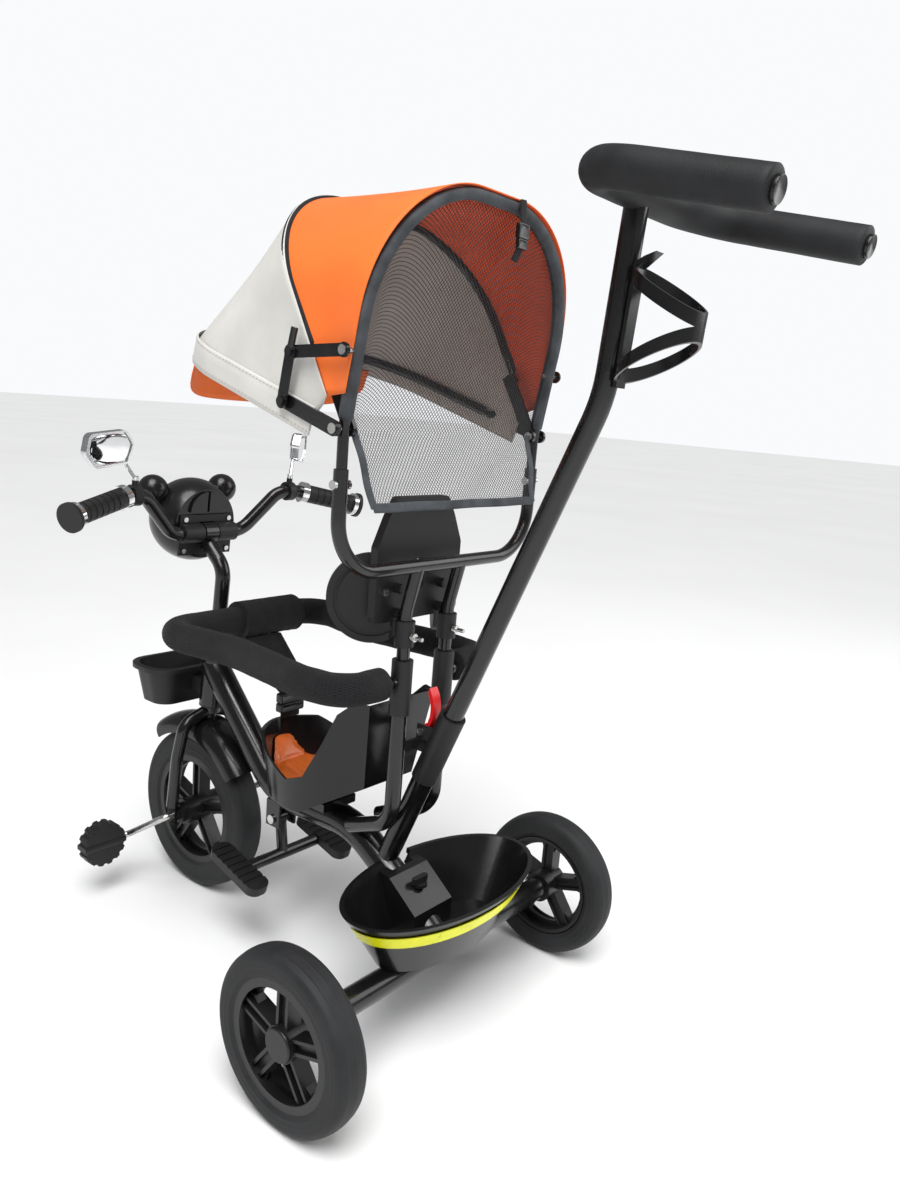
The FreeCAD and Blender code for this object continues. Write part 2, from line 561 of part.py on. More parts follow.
def build_pole():
    """Bent push pole with its U-shaped handle tube, the foam grip and the bottle cage."""
    top = POLE_BEND + POLE_TOP_AXIS * POLE_TOP_S
    lower = pipe([pole_point(34), POLE_BEND, top], [160], POLE_R)
    corner = [V(HANDLE_HALF, HANDLE_END_Y, HANDLE_END_Z), V(HANDLE_HALF, HANDLE_Y, HANDLE_Z),
              V(-HANDLE_HALF, HANDLE_Y, HANDLE_Z), V(-HANDLE_HALF, HANDLE_END_Y, HANDLE_END_Z)]
    bends = [HANDLE_BEND_R, HANDLE_BEND_R]
    handle = pipe(corner, bends, HANDLE_R)
    body = fuse(lower, handle)
    body = body.cut([pipe([pole_point(33), POLE_BEND, top - POLE_TOP_AXIS * 14], [160], POLE_R - WALL),
                     pipe(corner, bends, HANDLE_R - WALL)])
    add("push_pole", largest(body))

    back = (corner[1] - corner[0]).normalize() * 5.0
    covered = [corner[0] + back, corner[1], corner[2], corner[3] + V(0, back.y, back.z)]
    foam = pipe(covered, bends, HANDLE_FOAM_R).cut(pipe(covered, bends, HANDLE_R + GAP))
    foam = foam.cut(rod(top - POLE_TOP_AXIS * 40, top, POLE_R + GAP))
    add("push_foam", largest(foam))


def build_cage():
    """Bottle cage: a back plate along the pole and a slanted loop with its lower arm."""
    inner, outer = 36.0, 39.0
    plate = block(V(-9, POLE_R + GAP, 8), V(9, POLE_R + 4.3, 126))
    middle = POLE_R + 4.0 + inner
    wall = ring(V(0, middle, 0), Z, outer, inner, 150)

    def strap(z_near, z_far, height):
        near, far = middle - outer, middle + outer
        outline = [(near, z_near), (far, z_far), (far, z_far + height), (near, z_near + height)]
        return wall.common(side_prism(outline, -60, 60))

    hook = side_prism([(POLE_R + 1, 120), (POLE_R + 8, 126), (POLE_R + 22, 139), (POLE_R + 10, 134),
                       (POLE_R + GAP, 128)], -8, 8)
    cage = fuse(plate, strap(112, 72, 14), strap(12, 60, 14), hook)
    cage = turned(cage, V(0, 0, 0), X, -POLE_TOP_LEAN)
    cage.translate(POLE_BEND + POLE_TOP_AXIS * 3.0)
    clear = pipe([pole_point(POLE_BEND_S - 90), POLE_BEND, POLE_BEND + POLE_TOP_AXIS * 180], [160], POLE_R + GAP)
    add("bottle_cage", largest(cage.cut(clear)))


# ---- wheels -------------------------------------------------------------------------------------
def tyre(radius, width, inner, mid_x, y, z):
    """A solid tyre: rounded shoulders, a slightly crowned tread and a moulded centre line."""
    half = width / 2
    shoulder = 11.0
    slope = shoulder * (1 - math.sqrt(0.5))
    points = [V(-half + 3, 0, inner), V(-half, 0, inner + 5), V(-half, 0, radius - shoulder - 1.5)]
    tread_x = half - shoulder
    arc_left = Part.Arc(points[2], V(-half + slope, 0, radius - slope - 1.5), V(-tread_x, 0, radius - 1.2))
    crown = Part.Arc(V(-tread_x, 0, radius - 1.2), V(0, 0, radius), V(tread_x, 0, radius - 1.2))
    arc_right = Part.Arc(V(tread_x, 0, radius - 1.2), V(half - slope, 0, radius - slope - 1.5),
                         V(half, 0, radius - shoulder - 1.5))
    edges = [Part.LineSegment(points[0], points[1]), Part.LineSegment(points[1], points[2]), arc_left, crown,
             arc_right, Part.LineSegment(V(half, 0, radius - shoulder - 1.5), V(half, 0, inner + 5)),
             Part.LineSegment(V(half, 0, inner + 5), V(half - 3, 0, inner)),
             Part.LineSegment(V(half - 3, 0, inner), points[0])]
    face = Part.Face(Part.Wire([edge.toShape() for edge in edges]))
    solid = face.revolve(V(0, 0, 0), X, 360)
    solid.translate(V(mid_x, y, z))
    return solid


def rim(outer, width, hub_r, hub_low, hub_high, bore, spokes):
    """A moulded wheel centre about the X axis: stepped rim, double-ribbed spokes and hub."""
    half = width / 2 - 3
    barrel = ring(V(-half, 0, 0), X, outer, outer - 5, 2 * half)
    web = ring(V(-3, 0, 0), X, outer - 4, outer - 13, 6)
    lip = ring(V(half - 3, 0, 0), X, outer + 1.5, outer - 8, 3)
    hub = cyl(V(hub_low, 0, 0), X, hub_r, hub_high - hub_low)
    pieces = [barrel, web, lip, hub]
    for index in range(spokes):
        arm = block(V(-4, -9, hub_r - 4), V(8, 9, outer - 4))
        ribs = [block(V(-7, side * 7 - 2, hub_r - 4), V(13, side * 7 + 2, outer - 4)) for side in (1, -1)]
        flare = prism([V(-4, -9, outer - 22), V(-4, 9, outer - 22), V(-4, 17, outer - 3), V(-4, -17, outer - 3)],
                      V(12, 0, 0))
        spoke = fuse(arm, flare, *ribs)
        pieces.append(turned(spoke, V(0, 0, 0), X, 360.0 * index / spokes))
    body = fuse(*pieces)
    trim = cyl(V(-100, 0, 0), X, outer + 1.5, 200)
    return body.common(trim).cut(cyl(V(-200, 0, 0), X, bore, 400))


def build_rear_wheels():
    """Two rear wheels on one axle rod, with snap-on hub caps and end nuts."""
    rim_r = 71.0
    hub_in, hub_out = -REAR_W / 2 - 7.0, REAR_W / 2 - 6
    wheel = rim(rim_r, REAR_W, 21.0, hub_in, hub_out, AXLE_R + RUN, 5)
    wheel = wheel.cut(cyl(V(hub_out - 10, 0, 0), X, 16.0, 20))
    cap = cyl(V(hub_out + 0.0, 0, 0), X, 19.5, 4)
    cap = cap.makeFillet(2.5, [max(cap.Edges, key=lambda edge: edge.CenterOfMass.x)])
    cap = fuse(cap, ring(V(hub_out - 3, 0, 0), X, 16.0 - RUN, 13.5, 3.2))
    place = V(TRACK_HALF, 0, REAR_R)
    for name, turn in (("left", 0), ("right", 180)):
        hub = turned(wheel, V(0, 0, 0), Z, turn)
        cover = turned(cap, V(0, 0, 0), Z, turn)
        shift = V(place.x if turn == 0 else -place.x, 0, REAR_R)
        hub.translate(shift)
        cover.translate(shift)
        add("rear_rim_" + name, group(hub, cover))
        add("rear_tyre_" + name, tyre(REAR_R, REAR_W, rim_r + 1.5 + RUN, shift.x, 0, REAR_R))
    end = TRACK_HALF + hub_out - 4.5
    axle = cyl(V(-end, 0, REAR_R), X, AXLE_R, 2 * end)
    nut = cyl(V(end - 5.2, 0, REAR_R), X, 10.0, 5)
    add("rear_axle", fuse(axle, nut, mirrored(nut)))


def build_front_wheel():
    """Front wheel, its bent crank rod and the two pedals."""
    rim_r = 84.0
    dropout = DROPOUT_X - GAP
    hub = rim(rim_r, FRONT_W, 20.0, -36, 36, AXLE_R, 5)
    for side in (1, -1):
        steps = fuse(cyl(V(35, 0, 0), X, 15.0, 10), cyl(V(44, 0, 0), X, 10.0, dropout - 44))
        steps = steps if side > 0 else mirrored(steps)
        hub = hub.fuse(steps)
    hub = hub.removeSplitter().cut(cyl(V(-200, 0, 0), X, AXLE_R + 0.02, 400))
    hub.translate(FRONT_AXLE)
    add("front_rim", hub)
    add("front_tyre", tyre(FRONT_R, FRONT_W, rim_r + 1.5 + RUN, 0, -WHEELBASE, FRONT_R))
    reach = crank_end()
    points = [V(PEDAL_OUT - 3, 0, 0) + reach, V(CRANK_OUT, 0, 0) + reach, V(CRANK_IN, 0, 0), V(-CRANK_IN, 0, 0),
              V(-CRANK_OUT, 0, 0) - reach, V(-PEDAL_OUT + 3, 0, 0) - reach]
    cranks = pipe(points, [9, 9, 9, 9], AXLE_R)
    cranks.translate(FRONT_AXLE)
    add("crank_rod", cranks)
    for name, side in (("left", 1), ("right", -1)):
        middle = 0.5 * (PEDAL_IN + PEDAL_OUT)
        half = 0.5 * (PEDAL_OUT - PEDAL_IN)
        disc = cyl(V(middle, -10, 0), Y, half, 20)
        barrel = cyl(V(PEDAL_IN, 0, 0), X, 11.5, 2 * half)
        cuts = [cyl(V(PEDAL_IN - 1, 0, 0), X, AXLE_R + RUN, 2 * half - 1.5)]
        for index in range(14):
            angle = 2 * math.pi * (index + 0.5) / 14
            cuts.append(cyl(V(middle + (half + 1) * math.cos(angle), -12, (half + 1) * math.sin(angle)), Y, 4.2, 24))
        pedal = fuse(disc, barrel).cut(cuts)
        if side < 0:
            pedal = mirrored(pedal)
        pedal.translate(FRONT_AXLE + reach * side)
        add("pedal_" + name, largest(pedal))


DROPOUT_X = 54.0


def crank_end():
    """Left crank's throw from the axle, forward and down."""
    angle = math.radians(CRANK_DROP)
    return V(0, -CRANK * math.cos(angle), -CRANK * math.sin(angle))


# ---- steering -----------------------------------------------------------------------------------
CROWN, FORK_R, FORK_BENDS = 167.0, 9.0, [26, 60]


def fork_leg(side):
    """One fork leg's centre line, from the crown out and down to its dropout."""
    return [V(0, 0, CROWN), V(side * 47, 0, 150), V(side * 55, 0, 96), V(side * 57, 0, 16)]


def build_fork():
    """Fork with its steerer and flattened dropouts."""
    legs = []
    for side in (1, -1):
        legs.append(pipe(fork_leg(side), FORK_BENDS, FORK_R))
        plate = block(V(DROPOUT_X, -9, -6), V(DROPOUT_X + 4, 9, 26))
        plate = fuse(plate, cyl(V(DROPOUT_X, 0, -4), X, 11, 4))
        legs.append(plate if side > 0 else mirrored(plate))
    steerer = cyl(V(0, 0, CROWN - 6), Z, STEERER_R, HEAD_HIGH + 12 - CROWN + 6)
    cup = cyl(V(0, 0, CROWN - 5), Z, 14.0, HEAD_LOW - 2.5 - GAP - CROWN + 5)
    fork = fuse(steerer, cup, *legs).cut(cyl(V(-80, 0, 0), X, AXLE_R + RUN, 160))
    add("fork", steered(fork))


def fender_section(radius, half, skirt):
    """Cross-section of the fender in its own plane, as a closed wire."""
    thick = 2.4
    outer = [V(-half, 0, radius - skirt), V(-half + 7, 0, radius - 8), V(0, 0, radius), V(half - 7, 0, radius - 8),
             V(half, 0, radius - skirt)]
    inner = [V(half - thick, 0, radius - skirt), V(half - 9, 0, radius - 10.5), V(0, 0, radius - thick),
             V(-half + 9, 0, radius - 10.5), V(-half + thick, 0, radius - skirt)]
    tops = []
    for points in (outer, inner):
        curve = Part.BSplineCurve()
        curve.interpolate(points)
        tops.append(curve.toShape())
    ends = [Part.LineSegment(outer[-1], inner[0]).toShape(), Part.LineSegment(inner[-1], outer[0]).toShape()]
    return Part.Wire([tops[0], ends[0], tops[1], ends[1]])


def build_fender():
    """Front mudguard around the wheel, hung from the fork crown."""
    face = Part.Face(fender_section(FENDER_R, 33.0, 30.0))
    face = turned(face, V(0, 0, 0), X, FENDER_FRONT)
    body = face.revolve(V(0, 0, 0), X, -(FENDER_FRONT + FENDER_REAR))
    lug = cyl(V(0, 0, FENDER_R - 1.5), Z, 9, 8.5)
    lug = lug.cut([pipe(fork_leg(side), FORK_BENDS, FORK_R + RUN) for side in (1, -1)])
    add("front_fender", steered(largest(fuse(body, largest(lug)))))


def bar_route():
    """Handlebar's centre line in the steering frame, from the left grip's end to the right."""
    left = [V(247, 9, 478), V(150, -26, 495), V(118, -34, 493), V(62, -45, 432)]
    return left + [V(-point.x, point.y, point.z) for point in reversed(left)]


BAR_BENDS = [60, 34, 38, 38, 34, 60]
BAR_R = 10.0
BAR_MID = V(0, -45, 432)
BAR_END_DIR = (bar_route()[0] - bar_route()[1]).normalize()


def build_bar():
    """Stem, gull handlebar, grips, chrome collars and mirror clamps."""
    low = HEAD_HIGH + 12 + GAP
    stem = pipe([V(0, 0, low), V(0, 0, 388), V(0, -45, 418)], [34], STEERER_R, STEERER_R - 2)
    clamp = ring(BAR_MID - X * 11, X, 14.5, BAR_R + RUN, 22)
    nut = ring(V(0, 0, HEAD_HIGH + 2.5 + GAP), Z, 16.0, STEERER_R + RUN, 12)
    stem = fuse(stem, clamp, nut).cut(cyl(BAR_MID - X * 12, X, BAR_R + RUN, 24))
    add("stem", steered(largest(stem)))
    add("handlebar", steered(pipe(bar_route(), BAR_BENDS, BAR_R, BAR_R - WALL)))

    start = bar_route()[1] + BAR_END_DIR * 16
    length = (bar_route()[0] - start).Length
    tube = cyl(start, BAR_END_DIR, 14.0, length)
    flange = cyl(start + BAR_END_DIR * length, BAR_END_DIR, 19.5, 5)
    grip = fuse(tube, flange).cut(cyl(start, BAR_END_DIR, BAR_R + RUN, length))
    grooves = [ring(start + BAR_END_DIR * (14 + 11 * index), BAR_END_DIR, 16, 13.2, 2) for index in range(6)]
    add("grips", steered(both(grip.cut(grooves))))
    inner_ring = ring(start - BAR_END_DIR * 11, BAR_END_DIR, 16.5, BAR_R + RUN, 10.7)
    outer_ring = ring(start + BAR_END_DIR * (length - 8), BAR_END_DIR, 17.5, 14.0 + RUN, 7.7)
    add("grip_rings", steered(group(both(inner_ring), both(outer_ring))))
    clamp_ring = ring(MIRROR_CLAMP - X * 6, X, 14.5, BAR_R + RUN, 12)
    boss = cyl(MIRROR_CLAMP + Z * 13.5, Z, 4.5, 7)
    clamp_body = fuse(clamp_ring, boss).cut(pipe(bar_route(), BAR_BENDS, BAR_R + RUN))
    add("mirror_clamps", steered(both(largest(clamp_body))))


MIRROR_CLAMP = V(136, -30.5, 494.5)
MIRROR_TURN = {"left": 6.0, "right": -38.0}     # each mirror's own turn about its stem


def build_mirrors():
    """Mirror housings on thin stems above the clamps, each turned about its stem."""
    for name, side in (("left", 1), ("right", -1)):
        base = MIRROR_CLAMP + Z * (20.5 + GAP)
        outline = [V(-26, 0, -20), V(24, 0, -27), V(40, 0, -8), V(36, 0, 18), V(-20, 0, 24), V(-34, 0, 6)]
        housing = prism([point + V(44, -8, 44) for point in outline], V(0, 15, 0))
        upright = [edge for edge in housing.Edges if abs(edge.tangentAt(edge.FirstParameter).y) > 0.99]
        housing = housing.makeFillet(9, upright)
        rim_edges = [edge for edge in housing.Edges if abs(edge.CenterOfMass.y + 8) < 0.01]
        housing = housing.makeFillet(5, rim_edges)
        recess = prism([V(p.x * 0.9 + 44, 4.5, p.z * 0.88 + 44) for p in outline], V(0, 4, 0))
        stem_rod = rod(V(2, 0, 3), V(22, -2, 28), 2.6)
        foot = cyl(V(0, 0, 0), Z, 4.4, 5)
        mirror = fuse(housing.cut(recess), stem_rod, foot)
        mirror = turned(mirror, V(0, 0, 0), Z, MIRROR_TURN[name])
        mirror.translate(base)
        if side < 0:
            mirror = mirrored(mirror)
        add("mirror_" + name, steered(largest(mirror)))


BUTTON_BACK = -52.0          # rear face of the console in the steering frame
DOME_R, DOME_MIDDLE = 62.0, V(0, -86, 443)


def build_console():
    """Toy console: domed housing, clamp plate with screws, two sprung buttons and two ball lamps."""
    dome = Part.makeSphere(DOME_R, DOME_MIDDLE)
    dome = dome.cut(block(V(-200, BUTTON_BACK, 300), V(200, 100, 600)))
    bar_room = pipe(bar_route(), BAR_BENDS, BAR_R + 1.0)
    clamp_room = cyl(BAR_MID - X * 13, X, 16.0, 26)
    neck_room = pipe([V(0, 0, 350), V(0, 0, 388), V(0, -45, 418)], [34], STEERER_R + 1.5)
    pockets = [button_shape(side, BUTTON_BACK - 9, 10, 0.4) for side in (1, -1)]
    housing = dome
    for room in [bar_room, clamp_room] + pockets:
        housing = largest(housing.cut(room))
    add("console_housing", steered(housing))
    for name, side in (("left", 1), ("right", -1)):
        add("console_button_" + name, steered(button_shape(side, BUTTON_BACK - 5, 9.5, 0.0)))
    lamps = []
    for side in (1, -1):
        ball = Part.makeSphere(22.0, V(side * 61, -100, 486))
        lamps.append(largest(ball.cut(Part.makeSphere(DOME_R + RUN, DOME_MIDDLE))))
    add("lamp_balls", steered(group(*lamps)))
    plate = block(V(-46, BUTTON_BACK + GAP, 398), V(46, BUTTON_BACK + 3.5, 458))
    saddle = ring(BAR_MID - X * 46, X, 14.0, BAR_R + RUN, 92)
    saddle = saddle.common(block(V(-46, BUTTON_BACK + GAP, 400), V(46, 0, 470)))
    body = fuse(plate, saddle).cut([clamp_room, cyl(BAR_MID - X * 50, X, BAR_R + 0.1, 100), neck_room])
    screws = [cyl(V(x, BUTTON_BACK + 3.5, z), Y, 3.6, 2.2) for x in (-38, 38) for z in (405, 452)]
    add("console_plate", steered(group(*[solid for solid in body.Solids if solid.Volume > 500])))
    add("console_screws", steered(group(*screws)))


def button_shape(side, start, depth, grow):
    """A quarter-round push button that stands out of the console's rear face."""
    disc = cyl(V(0, start, 462), Y, 30.0 + grow, depth)
    gap = 2.0 - grow
    corner = block(V(gap, start - 1, 462 - grow), V(40, start + depth + 1, 500))
    piece = disc.common(corner)
    return piece if side > 0 else mirrored(piece)


# ---- front tray, guard hoop, footrest -----------------------------------------------------------
def build_tray():
    """Small front tray with a rolled rim, hung from the head tube."""
    floor_z = TRAY_RIM_Z - TRAY_DEPTH
    middle = V(0, TRAY_Y, 0)

    def tub(inset, low, high):
        bottom = rounded_plate(TRAY_HALF_X - 12 - inset, TRAY_HALF_Y - 10 - inset, 24, 0.5, middle + Z * low)
        top = rounded_plate(TRAY_HALF_X - inset, TRAY_HALF_Y - inset, 34, 0.5, middle + Z * high)
        wires = [min(bottom.Faces, key=lambda f: f.CenterOfMass.z).OuterWire,
                 max(top.Faces, key=lambda f: f.CenterOfMass.z).OuterWire]
        return Part.makeLoft(wires, True, True)

    body = tub(0.0, floor_z, TRAY_RIM_Z)
    rim_plate = rounded_plate(TRAY_HALF_X + 5, TRAY_HALF_Y + 5, 38, 6, middle + Z * (TRAY_RIM_Z - 6))
    bracket = block(V(-14, TRAY_Y + TRAY_HALF_Y - 8, 314), V(14, -470, 338))
    body = fuse(body, rim_plate, bracket).cut(tub(3.0, floor_z + 3, TRAY_RIM_Z + 1))
    body = body.cut([steer_bar(HEAD_LOW - 30, HEAD_HIGH + 30, HEAD_R + 0.2), main_tube(MAIN_R + 0.5)])
    add("front_tray", largest(body))


def guard_route(start_x):
    """Guard hoop's centre line from the left post round the front to the right."""
    left = [V(start_x, -68, GUARD_Z), V(127, -68, GUARD_Z), V(137, -130, GUARD_Z), V(119, -270, GUARD_Z),
            V(GUARD_HALF, GUARD_FRONT_Y, GUARD_Z)]
    return left + [V(-p.x, p.y, p.z) for p in reversed(left)]


GUARD_BENDS = [34, 90, 160, 40, 40, 160, 90, 34]


def build_guard():
    """Guard hoop that tips up about the post bolts: tube, foam, front wrap and crotch strap."""
    tube = pipe(guard_route(62.0), GUARD_BENDS, GUARD_TUBE_R)
    eyes = []
    for side in (1, -1):
        eye = block(V(53.0, POST_Y - 16, GUARD_Z - 7), V(57.0, POST_Y, GUARD_Z + 7))
        neck = block(V(53.0, -76, GUARD_Z - 7), V(66.0, -68.5, GUARD_Z + 7))
        eye = fuse(eye, cyl(V(53.0, POST_Y, GUARD_Z), X, 7, 4), neck)
        eye = eye.cut(cyl(V(50, POST_Y, GUARD_Z), X, 3.0 + RUN, 10))
        eyes.append(eye if side > 0 else mirrored(eye))
    add("guard_hoop", fuse(tube, *eyes))
    covered = guard_route(68.0)
    add("guard_foam", pipe(covered, GUARD_BENDS, GUARD_FOAM_R, GUARD_TUBE_R + GAP))
    wrap_start = V(WRAP_LOW_X, GUARD_FRONT_Y, GUARD_Z)
    add("guard_wrap", ring(wrap_start, X, GUARD_WRAP_R, GUARD_FOAM_R + 2 * GAP, WRAP_LENGTH))
    line = [(-394, 421.5), (-340, 372), (-316, 352), (-313, 355), (-336.5, 375), (-391, 425)]
    strap = side_prism(line, -58, 17).cut(cyl(V(-130, GUARD_FRONT_Y, GUARD_Z), X, GUARD_WRAP_R + 0.2, 160))
    plug = block(V(-36, -323, 341.5), V(6, -308, 356))
    add("guard_strap", fuse(largest(strap), plug))
    socket = block(V(-36, -323, 328), V(6, -308, 341.2))
    tail = block(V(-32, -316.5, 318.3), V(2, -313.5, 330))
    add("strap_socket", fuse(socket, tail))


def build_footrest():
    """Fold-away footrest: T-shaped bar on a pin under the main tube, with two foot pads."""
    barrel = cyl(FOOT_PIVOT - X * 11.7, X, 9.0, 23.4)
    cross_z, cross_y = 117.0, -300.0
    down = rod(FOOT_PIVOT, V(0, cross_y, cross_z), 8.0)
    cross = cyl(V(-72, cross_y, cross_z), X, 8.5, 144)
    bar = fuse(barrel, down, cross).cut(cyl(FOOT_PIVOT - X * 20, X, 4.0 + RUN, 40))
    add("footrest_bar", bar)
    pad = rounded_plate(17, 52, 14, 13, V(80, cross_y, cross_z - 3))
    ridges = [block(V(60, cross_y + step, cross_z + 8.5), V(100, cross_y + step + 4, cross_z + 12))
              for step in range(-42, 42, 12)]
    pad = turned(pad.cut(ridges), V(0, cross_y, cross_z), X, -PAD_TILT)
    add("foot_pads", both(largest(pad.cut(cyl(V(50, cross_y, cross_z), X, 8.5 + RUN, 22.1)))))
    pin = cyl(FOOT_PIVOT - X * 17.5, X, 4.0, 35)
    heads = [cyl(FOOT_PIVOT + X * x, X, 6.5, 3) for x in (-19.3, 16.3)]
    BOLTS.append(fuse(pin, *heads))


def build_bolts():
    """All loose fasteners of the frame: canopy rivets, collar and backrest bolts, lever and footrest pins."""
    add("frame_bolts", group(*BOLTS))


BUILDERS = [build_frame, build_posts, build_canopy_frame, build_canopy, build_seat, build_backrest, build_basket,
            build_pole_sleeve, build_lever, build_pole, build_cage, build_rear_wheels, build_front_wheel,
            build_fork, build_fender, build_bar, build_mirrors, build_console, build_tray, build_guard,
            build_footrest, build_bolts]


def main():
    """Build every sub-part and write one STEP file for each."""
    os.makedirs("parts", exist_ok=True)
    for builder in BUILDERS:
        builder()
    for name, shape in PARTS.items():
        moved = shape.copy()
        moved.translate(V(0, -ORIGIN_Y, 0))
        moved.exportStep("parts/" + name + ".step")


if __name__ == "__main__":
    main()
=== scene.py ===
"""Finished look of a children's tricycle with a push pole, sun canopy and padded guard hoop."""
import json
import logging
import math
from dataclasses import dataclass, field
from enum import Enum

import bpy
from mathutils import Matrix, Vector, noise


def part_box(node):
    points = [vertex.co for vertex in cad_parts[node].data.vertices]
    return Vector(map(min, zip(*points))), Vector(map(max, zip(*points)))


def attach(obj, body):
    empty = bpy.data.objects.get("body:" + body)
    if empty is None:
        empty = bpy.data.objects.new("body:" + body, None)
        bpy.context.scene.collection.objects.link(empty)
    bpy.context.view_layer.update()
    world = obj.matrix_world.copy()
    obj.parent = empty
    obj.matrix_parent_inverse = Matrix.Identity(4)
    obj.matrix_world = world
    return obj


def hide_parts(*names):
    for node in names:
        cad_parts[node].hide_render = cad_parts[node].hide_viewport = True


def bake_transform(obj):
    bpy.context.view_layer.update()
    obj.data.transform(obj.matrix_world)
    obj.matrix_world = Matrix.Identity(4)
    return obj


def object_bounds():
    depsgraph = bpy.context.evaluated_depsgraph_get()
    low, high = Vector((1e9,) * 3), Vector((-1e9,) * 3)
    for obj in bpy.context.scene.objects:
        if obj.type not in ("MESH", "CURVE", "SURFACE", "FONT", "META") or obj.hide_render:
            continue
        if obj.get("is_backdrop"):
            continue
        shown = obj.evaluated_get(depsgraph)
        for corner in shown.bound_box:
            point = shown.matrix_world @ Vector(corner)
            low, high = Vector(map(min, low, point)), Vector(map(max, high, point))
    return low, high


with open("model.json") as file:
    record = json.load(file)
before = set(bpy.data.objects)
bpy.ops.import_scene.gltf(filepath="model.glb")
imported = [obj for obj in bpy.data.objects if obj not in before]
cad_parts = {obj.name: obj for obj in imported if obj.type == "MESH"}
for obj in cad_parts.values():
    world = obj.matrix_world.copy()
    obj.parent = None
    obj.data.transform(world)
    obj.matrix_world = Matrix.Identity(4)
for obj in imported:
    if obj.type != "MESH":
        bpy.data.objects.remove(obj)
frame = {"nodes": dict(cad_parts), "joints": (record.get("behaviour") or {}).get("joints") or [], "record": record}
LOG = logging.getLogger("tricycle")
MM = 0.001
Colour = tuple[float, float, float, float]
Row = list[Vector]


class Side(Enum):
    """The rider's left and right."""

    LEFT = 1
    RIGHT = -1


class Held(Enum):
    """How a sheet of cloth is held."""

    STRETCHED = "stretched"
    HUNG = "hung"


# ---- places --------------------------------------------------------------------------------------
def joint_place(name: str) -> Vector:
    """Where a joint's axis passes.

    Args:
        name: the joint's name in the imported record.

    Returns:
        The joint's place in metres.
    """
    for joint in frame["joints"]:
        if joint["name"] == name:
            return Vector(joint["pos_m"])
    raise KeyError(name)


REAR_AXLE = joint_place("left_wheel_spin")
FRONT_AXLE = joint_place("front_wheel_spin")
CANOPY_PIVOT = joint_place("canopy_fold")
RAKE = math.radians(5.3)


def spot(x: float, y: float, z: float) -> Vector:
    """A place given in millimetres from the middle, the rear axle and the ground.

    Args:
        x: towards the rider's left.
        y: behind the rear axle.
        z: above the ground.

    Returns:
        The place in metres.
    """
    return Vector((x * MM, y * MM + REAR_AXLE.y, z * MM))


def steering_spot(x: float, y: float, z: float) -> Vector:
    """A place given in millimetres from the front axle, with z along the leaning steering axis.

    Args:
        x: towards the rider's left.
        y: behind the steering axis.
        z: along the steering axis.

    Returns:
        The place in metres.
    """
    return FRONT_AXLE + Matrix.Rotation(-RAKE, 3, "X") @ Vector((x, y, z)) * MM


def rounded_route(points: Row, bends: list[float], step: float = 0.006) -> Row:
    """Straight runs joined by tangent arcs, as evenly spaced points.

    Args:
        points: the corners of the route, with its two ends.
        bends: the bend radius at each inner corner, in metres.
        step: the spacing of the points.

    Returns:
        The points along the route.
    """
    dense: Row = [points[0].copy()]
    for index in range(1, len(points) - 1):
        here = points[index]
        way_in = (here - points[index - 1]).normalized()
        way_out = (points[index + 1] - here).normalized()
        half = way_in.angle(way_out) / 2
        radius = bends[index - 1]
        centre = here + (way_out - way_in).normalized() * (radius / math.cos(half))
        start = here - way_in * radius * math.tan(half)
        axis = way_in.cross(way_out).normalized()
        for turn in range(17):
            swing = Matrix.Rotation(2 * half * turn / 16, 3, axis)
            dense.append(centre + swing @ (start - centre))
    dense.append(points[-1].copy())
    return evenly(dense, step)


def evenly(dense: Row, step: float) -> Row:
    """The same line with points at even distances.

    Args:
        dense: the points of a line.
        step: the distance wanted.

    Returns:
        The new points.
    """
    lengths = [0.0]
    for before, after in zip(dense, dense[1:]):
        lengths.append(lengths[-1] + (after - before).length)
    count = max(2, round(lengths[-1] / step))
    made: Row = []
    at = 0
    for index in range(count + 1):
        wanted = lengths[-1] * index / count
        while at < len(lengths) - 2 and lengths[at + 1] < wanted:
            at += 1
        span = lengths[at + 1] - lengths[at]
        made.append(dense[at].lerp(dense[at + 1], (wanted - lengths[at]) / span if span else 0.0))
    return made


# ---- bench work ----------------------------------------------------------------------------------
def clear_bench() -> None:
    """Leave nothing selected."""
    bpy.ops.object.select_all(action="DESELECT")


def pick(piece: bpy.types.Object) -> None:
    """Select one piece and make it active.

    Args:
        piece: a mesh object.
    """
    clear_bench()
    piece.select_set(True)
    bpy.context.view_layer.objects.active = piece


def settle(piece: bpy.types.Object) -> bpy.types.Object:
    """Move a piece's place into its mesh.

    Args:
        piece: a mesh object.

    Returns:
        The piece at the origin, unturned and unscaled.
    """
    pick(piece)
    bpy.ops.object.transform_apply(location=True, rotation=True, scale=True)
    return piece


def mend_normals(piece: bpy.types.Object) -> None:
    """Merge doubles and point every face of a closed shell outwards.

    Args:
        piece: a closed mesh.
    """
    pick(piece)
    bpy.ops.object.mode_set(mode="EDIT")
    bpy.ops.mesh.select_all(action="SELECT")
    bpy.ops.mesh.remove_doubles(threshold=1e-6)
    bpy.ops.mesh.normals_make_consistent(inside=False)
    bpy.ops.object.mode_set(mode="OBJECT")


def apply_all(piece: bpy.types.Object) -> None:
    """Apply every modifier in its order."""
    pick(piece)
    for modifier in list(piece.modifiers):
        bpy.ops.object.modifier_apply(modifier=modifier.name)


def smooth(piece: bpy.types.Object, degrees: float = 38.0) -> None:
    """Shade smooth up to an angle."""
    pick(piece)
    bpy.ops.object.shade_smooth_by_angle(angle=math.radians(degrees))


